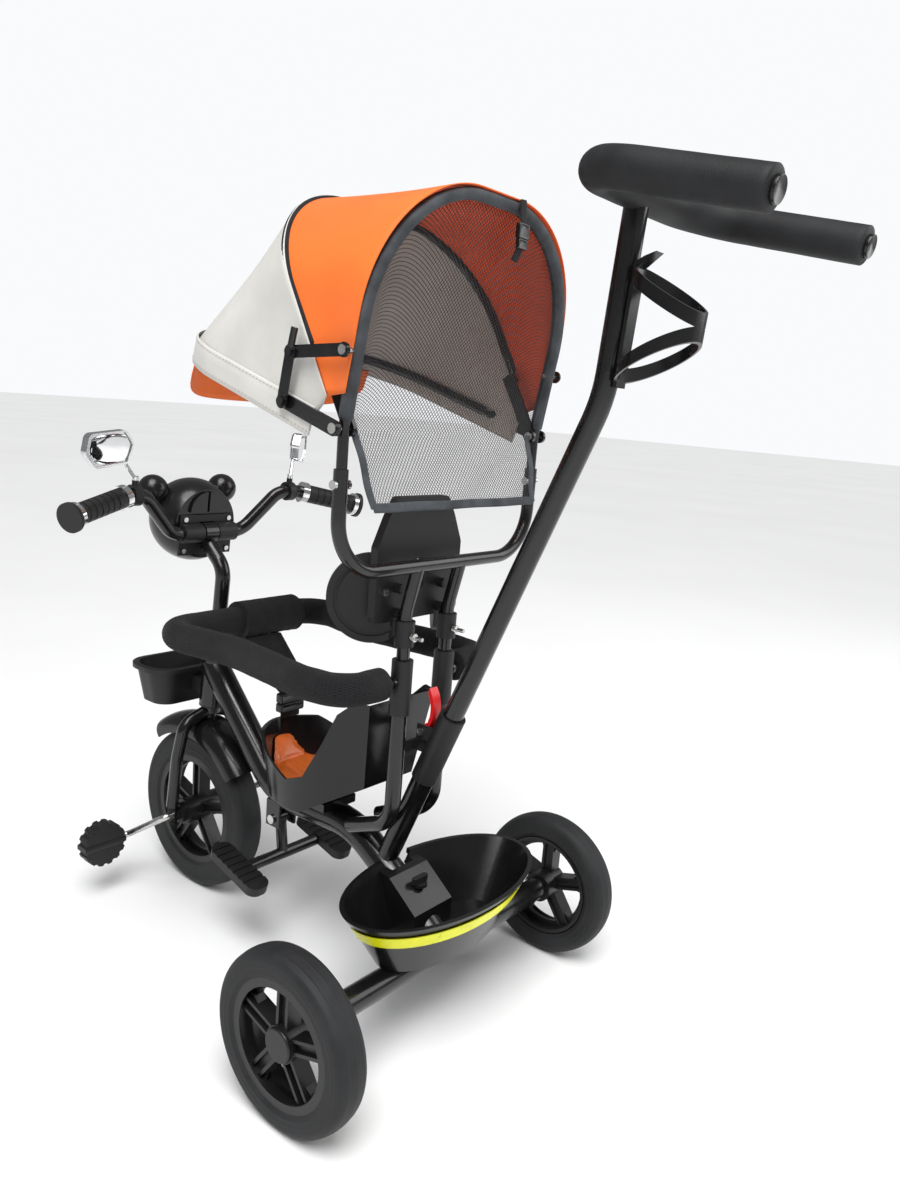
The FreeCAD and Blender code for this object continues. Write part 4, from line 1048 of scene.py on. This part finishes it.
# ---- canopy --------------------------------------------------------------------------------------
@dataclass
class Canopy:
    """Folding sun canopy: two cloth panels over three bows, a brim, tapes and the rear net."""

    half: float = 0.174
    mid_reach: float = 0.286
    growth: float = 0.00072
    mid_bend: float = 0.125
    shrink: float = 0.0004
    rear_angle: float = -9.2
    mid_angle: float = 30.0
    front_angle: float = 73.0
    cloth: float = 0.0011
    low_edge: float = 0.036
    hem_width: float = 0.021
    brim_half: float = 0.150
    brim_depth: float = 0.056
    columns: int = 96

    def outward(self, angle: float, x: float, reach: float) -> Vector:
        """A point at a reach from the pivot in a plane leaning forward by an angle.

        Args:
            angle: the lean in degrees.
            x: sideways from the middle.
            reach: distance from the pivot's axis.

        Returns:
            The place.
        """
        lean = math.radians(angle)
        return CANOPY_PIVOT + Vector((x, -reach * math.sin(lean), reach * math.cos(lean)))

    def beyond(self, angle: float) -> Vector:
        """The direction square to a bow's plane, towards the front."""
        return Vector((0, -math.cos(math.radians(angle)), -math.sin(math.radians(angle))))

    def hoop(self, angle: float, half: float, reach: float, bend: float, start: float, count: int) -> Row:
        """Evenly spaced points over an arch with two legs and two round corners.

        Args:
            angle: the arch plane's lean.
            half: half its width.
            reach: its top's distance from the pivot.
            bend: its corner radius.
            start: how far above the pivot its legs start.
            count: how many spaces.

        Returns:
            The points from the left leg over to the right.
        """
        dense: list[tuple[float, float]] = [(half, start)]
        for index in range(41):
            turn = math.pi / 2 * index / 40
            dense.append((half - bend + bend * math.cos(turn), reach - bend + bend * math.sin(turn)))
        dense += [(-x, r) for x, r in reversed(dense)]
        places = [self.outward(angle, x, r) for x, r in dense]
        total = sum((b - a).length for a, b in zip(places, places[1:]))
        return evenly(places, total / count)

    def arch(self, angle: float, start: float, lift: float, count: int | None = None) -> Row:
        """The cloth's arch at an angle, lifted off the bows' middle line.

        Args:
            angle: the arch plane's lean.
            start: how far above the pivot it starts.
            lift: how far outside the bow's middle it lies.
            count: how many spaces, or the usual number.

        Returns:
            The points.
        """
        forward = angle - self.mid_angle
        reach = self.mid_reach + self.growth * forward + lift
        bend = self.mid_bend - self.shrink * forward + lift
        return self.hoop(angle, self.half + lift, reach, bend, start, count or self.columns)

    def stretched_rows(self, first: float, last: float, lift: float, steps: int, sag: float) -> list[Row]:
        """Cloth pulled straight from one bow to the next, with a slight sag and soft ripples.

        Args:
            first: the rear edge's angle.
            last: the front edge's angle.
            lift: how far outside the bows' middle it lies.
            steps: how many strips.
            sag: how deep the middle hangs in.

        Returns:
            Rows from the rear edge to the front.
        """
        rear, front = self.arch(first, self.low_edge, lift), self.arch(last, self.low_edge, lift)
        rows: list[Row] = []
        for step in range(steps + 1):
            share = step / steps
            row: Row = []
            for a, b in zip(rear, front):
                place = a.lerp(b, share)
                inward = (CANOPY_PIVOT + Vector((0, 0, 0.06)) - place).normalized()
                ripple = 0.0028 * noise.noise(Vector((place.x * 16, place.y * 7, place.z * 16)))
                depth = (sag + ripple) * math.sin(math.pi * share)
                row.append(place + inward * depth)
            rows.append(row)
        return rows

    def orange_panel(self) -> bpy.types.Object:
        """The rear panel, from the fixed bow to the middle bow.

        Returns:
            The panel.
        """
        rows = self.stretched_rows(self.rear_angle - 1.2, self.mid_angle, 0.0056, 18, 0.002)
        panel = lay_surface("canopy_orange_panel", rows, out_from=CANOPY_PIVOT + Vector((0, -0.04, 0.08)))
        # The inner face gets the darker orange, which is painted shade.
        dress(panel, ORANGE, ORANGE_INNER_SHADE)
        thicken(panel, self.cloth, 1)
        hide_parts("canopy_rear_panel")
        declare_sheet(rows)
        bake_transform(panel)
        return panel

    def front_edge(self, lift: float, offset: float, start: float | None = None) -> Row:
        """The front bow's arch moved square to its own plane.

        Args:
            lift: how far outside the bow's middle it lies.
            offset: how far in front of the bow's plane.
            start: how far above the pivot it starts, or the cloth's low edge.

        Returns:
            The points.
        """
        shift = self.beyond(self.front_angle) * offset
        return [p + shift for p in self.arch(self.front_angle, start or self.low_edge, lift)]

    def pale_panel(self) -> bpy.types.Object:
        """The front panel, from the middle bow to its hem below the front bow.

        Returns:
            The panel.
        """
        lift = 0.0080
        rows = self.stretched_rows(self.mid_angle - 0.8, self.front_angle, lift, 20, 0.003)
        rows += [self.front_edge(lift, self.hem_width * share) for share in (0.35, 0.7, 1.0)]
        panel = lay_surface("canopy_pale_panel", rows, out_from=CANOPY_PIVOT + Vector((0, -0.12, 0.05)))
        # The inner face gets the darker pale grey, which is painted shade.
        dress(panel, PALE, PALE_SHADE_AND_THREAD)
        thicken(panel, self.cloth, 1)
        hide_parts("canopy_front_panel")
        declare_sheet(rows)
        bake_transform(panel)
        return panel

    def hem(self) -> bpy.types.Object:
        """The folded hem band along the front edge.

        Returns:
            The band.
        """
        bands = ((0.0084, -0.009), (0.0095, -0.0075), (0.0096, 0.004), (0.0095, 0.016),
                 (0.0090, self.hem_width + 0.001),
                 (0.0081, self.hem_width + 0.0016))
        rows = [self.front_edge(lift, offset) for lift, offset in bands]
        band = lay_surface("canopy_hem", rows, out_from=CANOPY_PIVOT + Vector((0, -0.12, 0.05)))
        # The inner face gets the darker pale grey, which is painted shade.
        dress(band, PALE, PALE_SHADE_AND_THREAD)
        thicken(band, 0.0007, 1)
        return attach(band, "front_canopy")

    def stitches(self) -> bpy.types.Object:
        """Two rows of thread along the hem.

        Returns:
            The stitches.
        """
        clear_bench()
        bpy.ops.mesh.primitive_cylinder_add(vertices=6, radius=0.00045, depth=0.0034)
        first = bpy.context.active_object
        soften(first, 0.0002, 1)
        made = []
        for lift, offset in ((0.0098, -0.0055), (0.0096, self.hem_width - 0.003)):
            line = evenly(self.front_edge(lift, offset), 0.0062)
            for before, after in zip(line, line[1:]):
                thread = first.copy()
                thread.data = first.data.copy()
                bpy.context.collection.objects.link(thread)
                turn = (after - before).to_track_quat("Z", "X").to_matrix().to_4x4()
                thread.data.transform(Matrix.Translation((before + after) / 2) @ turn)
                made.append(thread)
        bpy.data.objects.remove(first)
        thread = join("hem_stitches", made)
        # The thread takes the darker pale grey that is painted shade inside the canopy.
        return fit(thread, "canopy_white", "front_canopy", PALE_SHADE_AND_THREAD)

    def brim(self) -> bpy.types.Object:
        """The orange flap that hangs below the hem, round at both ends.

        Returns:
            The flap.
        """
        edge = [p for p in self.front_edge(0.0062, self.hem_width - 0.006) if abs(p.x) <= self.brim_half]
        rows: list[Row] = []
        square = self.beyond(self.front_angle)
        for step in range(11):
            share = step / 10
            row: Row = []
            for place in edge:
                round_off = math.sqrt(max(0.0, 1.0 - (abs(place.x) / self.brim_half) ** 5))
                depth = (0.012 + self.brim_depth * round_off) * share
                fold = 0.0022 * math.sin(place.x * 62.0) * share
                flare = Vector((0, -0.08 * depth - fold, 0))
                row.append(place + square * depth + flare)
            rows.append(row)
        flap = lay_surface("canopy_orange_brim", rows, out_from=CANOPY_PIVOT + Vector((0, -0.1, 0)))
        dress(flap, ORANGE, ORANGE)
        thicken(flap, 0.0012, 1)
        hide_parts("canopy_brim")
        declare_sheet(rows)
        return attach(flap, "front_canopy")

    def sleeves(self) -> None:
        """Black tape sleeves that hold the middle and the front bow under the cloth."""
        for name, angle, body in (("mid_bow_sleeve", self.mid_angle, "mid_canopy"),
                                  ("front_bow_sleeve", self.front_angle, "front_canopy")):
            path = self.arch(angle, 0.094, 0.0)
            section = [(a - 0.0030, b) for a, b in oval(0.0046, 0.0060, 14, 0.9)]
            sleeve = sweep(name, path, self.beyond(angle), section, 0.002)
            fit(sleeve, "webbing", body, TAPE)

    def binding(self) -> bpy.types.Object:
        """Dark grey binding wrapped round the fixed rear bow, from pivot to pivot.

        Returns:
            The binding.
        """
        path = self.hoop(self.rear_angle, 0.1715, 0.2535, 0.148, 0.012, 120)
        wrap = sweep("rear_arch_binding", path, self.beyond(self.rear_angle), oval(0.0065, 0.0080, 16, 0.8),
                     0.002)
        return fit(wrap, "webbing", "frame", BINDING)

    def net_rows(self) -> list[Row]:
        """The rear net, from its low hem up to the rear arch.

        Returns:
            The rows of points.
        """
        half, reach, bend = 0.1645, 0.247, 0.1415
        rows: list[Row] = []
        shares = [index / 48 * 2 - 1 for index in range(49)]
        low = [spot(146.0 * share, -22.0, 662.0) for share in shares]
        waist = [CANOPY_PIVOT + Vector((0.1573 * share, 0.0, 0.0)) for share in shares]
        for step in range(8):
            rows.append([a.lerp(b, step / 8) + Vector((0, 0.0016 * math.sin(9 * share + step), 0))
                         for a, b, share in zip(low, waist, shares)])
        for step in range(25):
            up = step / 24
            row: Row = []
            for share in shares:
                x = half * share
                corner = max(0.0, abs(x) - (half - bend))
                top = reach - bend + math.sqrt(max(0.0, bend * bend - corner * corner))
                r = up * top
                narrow = min(1.0, 0.957 + r * 1.6)
                row.append(self.outward(self.rear_angle, x * narrow, r))
            rows.append(row)
        return rows

    def net(self) -> bpy.types.Object:
        """The open net that closes the back of the canopy.

        Returns:
            The net.
        """
        rows = self.net_rows()
        net = lay_surface("rear_net", rows, out_from=CANOPY_PIVOT + Vector((0, -0.3, 0.05)))
        dress(net, NET)
        thicken(net, 0.0003)
        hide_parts("mesh_curtain")
        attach(net, "frame")
        for name, line in (("net_hem_tape", rows[0]), ("net_left_tape", [row[-1] for row in rows[:9]]),
                           ("net_right_tape", [row[0] for row in rows[:9]])):
            flat = Vector((0, 1, 0.2))
            tape = sweep(name, evenly(line, 0.006), flat, oval(0.0052, 0.001, 10, 0.6), 0.001)
            fit(tape, "webbing", "frame", BINDING)
        declare_sheet(rows)
        return net

    def tie(self) -> None:
        """The roll-up tape and its small buckle at the top of the rear arch."""
        top = self.outward(self.rear_angle, -0.034, 0.2535)
        back = Vector((0, 0.0098, 0))
        path = [top + back + Vector((0, 0, 0.007)), top + back + Vector((-0.002, 0.0016, -0.02)),
                top + back + Vector((-0.001, 0.0012, -0.04)), top + back + Vector((0.002, -0.004, -0.056))]
        tape = sweep("rollup_tape", evenly(path, 0.004), Vector((0, 1, 0)), oval(0.0062, 0.0009, 10, 0.6),
                     0.001)
        fit(tape, "webbing", "frame", WEBBING)
        middle = top + back + Vector((-0.001, 0.001, -0.032))
        for name, low, high in (("rollup_buckle_socket", Vector((-0.0095, -0.0026, -0.001)),
                                 Vector((0.0095, 0.0038, 0.015))),
                                ("rollup_buckle_plug", Vector((-0.0083, -0.0022, -0.012)),
                                 Vector((0.0083, 0.0033, -0.0012)))):
            half = block(name, middle + low, middle + high)
            inset_facing(half, Vector((0, 1, 0)), 0.0024, 0.001)
            soften(half, 0.0013)
            fit(half, "plastic_black", "frame", SMOOTH_BLACK)

    def build(self) -> None:
        """Build the whole canopy."""
        for make in (self.orange_panel, self.pale_panel, self.hem, self.stitches, self.brim, self.sleeves,
                     self.binding,
                     self.net, self.tie):
            make()
            LOG.info("canopy: %s", make.__name__)


# ---- seat ----------------------------------------------------------------------------------------
@dataclass
class SeatCushion:
    """Padded orange seat cover, swelled by air pressure and sewn down along two channels."""

    voxel: float = 0.0035
    swell_cap: float = 0.006
    wall_cap: float = 0.0004
    shrink: float = 0.0002
    channel_x: float = 0.026
    channel_depth: float = 0.0022

    def blank(self) -> bpy.types.Object:
        """An evenly meshed, slightly smaller copy of the cushion's own solid.

        Returns:
            The blank.
        """
        source = frame["nodes"]["seat_cushion"]
        mesh = source.data.copy()
        pad = bpy.data.objects.new("seat_pad", mesh)
        bpy.context.collection.objects.link(pad)
        mend_normals(pad)
        for vertex, normal in zip(pad.data.vertices, [v.normal.copy() for v in pad.data.vertices]):
            vertex.co -= normal * self.shrink
        remesh = pad.modifiers.new("even", "REMESH")
        remesh.mode = "VOXEL"
        remesh.voxel_size = self.voxel
        relax = pad.modifiers.new("relax", "SMOOTH")
        relax.factor = 0.5
        relax.iterations = 8
        apply_all(pad)
        return pad

    def inflate(self, pad: bpy.types.Object) -> None:
        """Swell the pad with cloth pressure, holding it to its shell at the sides and below.

        Args:
            pad: the meshed blank.
        """
        rest = [(v.co.copy(), v.normal.copy()) for v in pad.data.vertices]
        cloth = pad.modifiers.new("air", "CLOTH")
        cloth.settings.use_pressure = True
        cloth.settings.uniform_pressure_force = 4.0
        cloth.settings.effector_weights.gravity = 0.0
        cloth.settings.quality = 5
        scene = bpy.context.scene
        for step in range(1, 21):
            scene.frame_set(step)
        apply_all(pad)
        scene.frame_set(1)
        for vertex, (place, normal) in zip(pad.data.vertices, rest):
            move = vertex.co - place
            cap = self.swell_cap if normal.z > 0.35 else self.wall_cap
            if move.length > cap:
                move *= cap / move.length
            vertex.co = place + move

    def build(self) -> None:
        """Build the pad and its two sewn channels."""
        low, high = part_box("seat_cushion")
        pad = self.blank()
        self.inflate(pad)
        finer = pad.modifiers.new("finer", "SUBSURF")
        finer.levels = 1
        finer.render_levels = 1
        apply_all(pad)
        for vertex, normal in zip(pad.data.vertices, [v.normal.copy() for v in pad.data.vertices]):
            if normal.z > 0.3:
                off = min(abs(abs(vertex.co.x) - self.channel_x), 0.02)
                vertex.co.z -= self.channel_depth * math.exp(-(off / 0.0028) ** 2)
        smooth(pad, 70.0)
        dress(pad, SEAT)
        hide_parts("seat_cushion")
        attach(pad, "frame")
        LOG.info("seat pad, %.0f mm long", (high.y - low.y) / MM)


# ---- guard hoop ----------------------------------------------------------------------------------
@dataclass
class GuardPadding:
    """Knit-covered foam on the guard hoop, its front wrap, and the crotch strap with its buckle."""

    height: float = 445.0
    radius: float = 0.0198
    wrap_low: float = -92.0
    wrap_length: float = 104.0
    wrap_radius: float = 0.0268
    front_y: float = -405.0
    strap_middle: float = -20.5

    def route(self) -> Row:
        """The hoop's middle line from its left end to its right.

        Returns:
            The points along it.
        """
        corners = [(68, -68), (127, -68), (137, -130), (119, -270), (140, self.front_y)]
        corners += [(-x, y) for x, y in reversed(corners)]
        bends = [0.034, 0.090, 0.160, 0.040, 0.040, 0.160, 0.090, 0.034]
        return rounded_route([spot(x, y, self.height) for x, y in corners], bends, 0.005)

    def cover(self) -> None:
        """The long knit sleeve with its foam."""
        sleeve = sweep("guard_knit_sleeve", self.route(), Vector((0, 0, 1)),
                       oval(self.radius, self.radius, 28), 0.003, 0.035)
        dress(sleeve, KNIT)
        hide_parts("guard_foam")
        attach(sleeve, "guard")

    def wrap(self) -> None:
        """The padded wrap round the front, with piping at both ends and a closing flap."""
        profile = [(0.0, 0.0206), (0.0, 0.0240), (0.8, 0.0256), (3.0, 0.0264)]
        profile += [(6.0 + index * 7.7, 0.0266 + 0.0004 * math.sin(index * 1.9)) for index in range(13)]
        profile += [(self.wrap_length - 3.0, 0.0264), (self.wrap_length - 0.8, 0.0256),
                    (self.wrap_length, 0.0240),
                    (self.wrap_length, 0.0206)]
        rows: list[Row] = []
        for along, radius in profile:
            row: Row = []
            for index in range(41):
                angle = 2 * math.pi * index / 40
                flap = 0.0008 if 0.0 < math.sin(angle * 0.5 - 0.6) < 0.55 else 0.0
                size = min(radius + flap, self.wrap_radius + 0.0004)
                middle = spot(self.wrap_low + along, self.front_y, self.height)
                row.append(middle + Vector((0, size * math.cos(angle), size * math.sin(angle))))
            rows.append(row)
        pad = lay_surface("guard_front_wrap", rows, closed=True)
        dress(pad, KNIT)
        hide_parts("guard_wrap")
        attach(pad, "guard")
        for name, along in (("wrap_piping_right", 1.0), ("wrap_piping_left", self.wrap_length - 1.0)):
            clear_bench()
            place = spot(self.wrap_low + along, self.front_y, self.height)
            bpy.ops.mesh.primitive_torus_add(location=place, rotation=(0, math.pi / 2, 0),
                                             major_segments=56,
                                             minor_segments=10, major_radius=0.0258, minor_radius=0.0015)
            piping = settle(bpy.context.active_object)
            piping.name = name
            smooth(piping, 80.0)
            fit(piping, "webbing", "guard", TAPE)

    def strap(self) -> None:
        """The wide strap from the wrap down to its buckle at the seat's front."""
        line = evenly([spot(0, -397, 419.5), spot(0, -390, 421), spot(0, -366, 398), spot(0, -341, 374.5),
                       spot(0, -326, 361.5), spot(0, -317.5, 353)], 0.004)
        rows: list[Row] = []
        for index, place in enumerate(line):
            share = index / (len(line) - 1)
            half = 0.0368 if share < 0.55 else 0.0368 - 0.018 * (share - 0.55) / 0.45
            row = []
            for column in range(17):
                across = column / 8 - 1
                crown = 0.0014 * (1 - across * across) + 0.0007 * math.sin(share * 9.0) * (1 - abs(across))
                row.append(place + Vector((self.strap_middle * MM + half * across, 0.7 * crown,
                                           0.7 * crown)))
            rows.append(row)
        strap = lay_surface("crotch_strap", rows, out_from=spot(self.strap_middle, -420, 330))
        dress(strap, WEBBING)
        thicken(strap, 0.0024)
        soften(strap, 0.0006, 2)
        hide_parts("guard_strap")
        declare_sheet(rows)
        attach(strap, "guard")

    def buckle(self) -> None:
        """The side-release buckle: plug on the strap, socket on the seat, and the tape below."""
        for name, body, low, high in (("crotch_buckle_plug", "guard", spot(-36, -322.6, 341.6),
                                       spot(6, -308.4, 355.6)),
                                      ("crotch_buckle_socket", "frame", spot(-36, -322.8, 328),
                                       spot(6, -308.2, 341.1))):
            half = block(name, low, high)
            for facing in (Vector((0, -1, 0)), Vector((0, 1, 0))):
                inset_facing(half, facing, 0.0035, 0.0014)
            soften(half, 0.002)
            fit(half, "plastic_black", body, SMOOTH_BLACK)
            if body == "frame":
                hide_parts("strap_socket")
        tail = block("crotch_strap_tail", spot(-32, -316.4, 318.4), spot(2, -313.6, 330))
        soften(tail, 0.0009, 2)
        fit(tail, "webbing", "frame", TAPE)

    def build(self) -> None:
        """Build all of the guard's soft pieces."""
        for make in (self.cover, self.wrap, self.strap, self.buckle):
            make()
            LOG.info("guard: %s", make.__name__)


# ---- push handle ---------------------------------------------------------------------------------
@dataclass
class PushGrip:
    """Foam grip over the push pole's U-shaped handle, with plugs in its two ends."""

    half: float = 120.0
    front_y: float = 165.0
    front_z: float = 989.0
    end_y: float = 352.0
    end_z: float = 952.0
    bend: float = 0.060
    radius: float = 0.0184

    def build(self) -> None:
        """Build the foam and its end plugs."""
        corners = [spot(self.half, self.end_y - 5, self.end_z + 1), spot(self.half, self.front_y, self.front_z),
                   spot(-self.half, self.front_y, self.front_z),
                   spot(-self.half, self.end_y - 5, self.end_z + 1)]
        path = rounded_route(corners, [self.bend, self.bend], 0.006)
        across = corners[2] - corners[1]
        back = corners[0] - corners[1]
        foam = sweep("push_foam_grip", path, across.cross(back), oval(self.radius, self.radius, 32), 0.0024,
                     0.012)
        dress(foam, FOAM)
        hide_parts("push_foam")
        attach(foam, "pole")
        ahead = back.normalized()
        for side in Side:
            clear_bench()
            end = Vector((side.value * self.half * MM, corners[0].y, corners[0].z)) + ahead * 0.0042
            turn = ahead.to_track_quat("Z", "X").to_euler()
            bpy.ops.mesh.primitive_cylinder_add(vertices=40, radius=0.0112, depth=0.0052, location=end,
                                                rotation=turn)
            plug = settle(bpy.context.active_object)
            plug.name = f"handle_end_plug_{side.name.lower()}"
            inset_facing(plug, ahead, 0.003, 0.0012)
            soften(plug, 0.0011)
            fit(plug, "plastic_black", "pole", SMOOTH_BLACK)
        LOG.info("push grip")


# ---- mirrors -------------------------------------------------------------------------------------
@dataclass
class MirrorPanes:
    """Slightly domed silvered panes set in the two mirror shells."""

    clamp: tuple[float, float, float] = (136.0, -30.5, 494.5)
    rise: float = 20.8
    turns: dict[Side, float] = field(default_factory=lambda: {Side.LEFT: 6.0, Side.RIGHT: -38.0})
    outline: tuple[tuple[float, float], ...] = ((-26, -20), (24, -27), (40, -8), (36, 18), (-20, 24),
                                                (-34, 6))

    def smooth_outline(self) -> list[tuple[float, float]]:
        """The pane's outline with its corners rounded.

        Returns:
            Its points.
        """
        points = [(x * 0.87, z * 0.85) for x, z in self.outline]
        for _ in range(3):
            cut = []
            for (ax, az), (bx, bz) in zip(points, points[1:] + points[:1]):
                cut += [(0.78 * ax + 0.22 * bx, 0.78 * az + 0.22 * bz),
                        (0.22 * ax + 0.78 * bx, 0.22 * az + 0.78 * bz)]
            points = cut
        return points

    def pane(self, side: Side) -> bpy.types.Object:
        """One pane.

        Args:
            side: which mirror.

        Returns:
            The pane.
        """
        turn = Matrix.Rotation(math.radians(self.turns[side]), 3, "Z")
        edge = self.smooth_outline()

        def at(x: float, y: float, z: float) -> Vector:
            """A point of the left mirror, carried to this one."""
            local = turn @ Vector((x + 44.0, y, z + 44.0)) + Vector(self.clamp) + Vector((0, 0, self.rise))
            return steering_spot(local.x * side.value, local.y, local.z)

        rows: list[Row] = []
        for share, depth in ((0.0, 6.4), (0.35, 6.3), (0.7, 6.0), (0.96, 5.6), (1.0, 5.3), (1.0, 4.6),
                             (0.0, 4.6)):
            rows.append([at(x * share, depth, z * share) for x, z in edge + edge[:1]])
        pane = lay_surface(f"mirror_pane_{side.name.lower()}", rows, closed=True)
        mend_normals(pane)
        return fit(pane, "mirror_glass", f"{side.name.lower()}_mirror", PANE)

    def build(self) -> None:
        """Build both panes."""
        for side in Side:
            self.pane(side)
        LOG.info("mirror panes")


# ---- studio --------------------------------------------------------------------------------------
@dataclass
class Studio:
    """Pale floor, soft lights and the camera."""

    eye: Vector = field(default_factory=lambda: Vector((0.8559, 0.77549, 0.7746)))
    forward: Vector = field(default_factory=lambda: Vector((-0.767, -0.608, -0.204)))
    up: Vector = field(default_factory=lambda: Vector((-0.109, -0.189, 0.975)))
    lens: float = 28.19

    def camera(self) -> None:
        """Place the camera."""
        data = bpy.data.cameras.new("view_camera")
        camera = bpy.data.objects.new("view_camera", data)
        bpy.context.collection.objects.link(camera)
        back = -self.forward.normalized()
        right = self.up.cross(back).normalized()
        up = back.cross(right)
        turn = Matrix((right, up, back)).transposed().to_4x4()
        camera.matrix_world = Matrix.Translation(self.eye) @ turn
        data.lens = self.lens
        data.sensor_width = 36.0
        data.clip_end = 60.0
        bpy.context.scene.camera = camera

    def light(self, name: str, place: Vector, size: float, power: float) -> None:
        """One large soft light that looks at the tricycle.

        Args:
            name: the light's name.
            place: where it hangs.
            size: its width in metres.
            power: its strength in watts.
        """
        data = bpy.data.lights.new(name, "AREA")
        data.size = size
        data.energy = power
        lamp = bpy.data.objects.new(name, data)
        bpy.context.collection.objects.link(lamp)
        lamp.location = place
        lamp.rotation_euler = (place - Vector((0, 0, 0.5))).to_track_quat("Z", "Y").to_euler()

    def floor(self) -> None:
        """A wide pale floor, just under the wheels."""
        clear_bench()
        bpy.ops.mesh.primitive_plane_add(size=60.0, location=(0, 0, 0))
        floor = bpy.context.active_object
        floor.name = "studio_floor"
        bench = Bench("pale_floor")
        cloud = bench.noise(bench.place(), 0.8, 3.0)
        bench.set(Base_Color=bench.shades(cloud, (0.84, 0.84, 0.84, 1), (0.88, 0.88, 0.88, 1)),
                  Roughness=0.7)
        floor.data.materials.append(bench.material)
        floor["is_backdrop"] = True

    def build(self) -> None:
        """Set up the studio."""
        world = bpy.data.worlds.new("soft_studio")
        world.use_nodes = True
        background = world.node_tree.nodes["Background"]
        background.inputs["Color"].default_value = (0.97, 0.98, 1.0, 1)
        seen = world.node_tree.nodes.new("ShaderNodeLightPath")
        strength = world.node_tree.nodes.new("ShaderNodeMath")
        strength.operation = "MULTIPLY_ADD"
        strength.inputs[1].default_value = 0.72
        strength.inputs[2].default_value = 0.26
        world.node_tree.links.new(seen.outputs["Is Camera Ray"], strength.inputs[0])
        world.node_tree.links.new(strength.outputs[0], background.inputs["Strength"])
        bpy.context.scene.world = world
        self.floor()
        self.camera()
        self.light("key_light", Vector((1.6, 0.9, 2.6)), 1.6, 42.0)
        self.light("fill_light", Vector((-1.8, 1.6, 1.8)), 1.8, 26.0)
        sun = bpy.data.lights.new("overhead_light", "SUN")
        sun.energy = 2.5
        sun.angle = math.radians(40.0)
        overhead = bpy.data.objects.new("overhead_light", sun)
        overhead.rotation_euler = (math.radians(-14.0), math.radians(16.0), 0.0)
        bpy.context.collection.objects.link(overhead)
        bpy.context.scene.view_settings.view_transform = "Standard"
        LOG.info("studio")


def corners() -> list[list[float]]:
    """The shown object's lowest and highest corner as plain lists."""
    return [list(corner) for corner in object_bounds()]


def main() -> None:
    """Build every sub-assembly in order."""
    logging.basicConfig(level=logging.INFO, format="%(name)s: %(message)s")
    clear_bench()
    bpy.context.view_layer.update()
    CarriedNodes().build()
    for assembly in (Canopy(), SeatCushion(), GuardPadding(), PushGrip(), MirrorPanes(), Studio()):
        assembly.build()


if __name__ == "__main__":
    main()
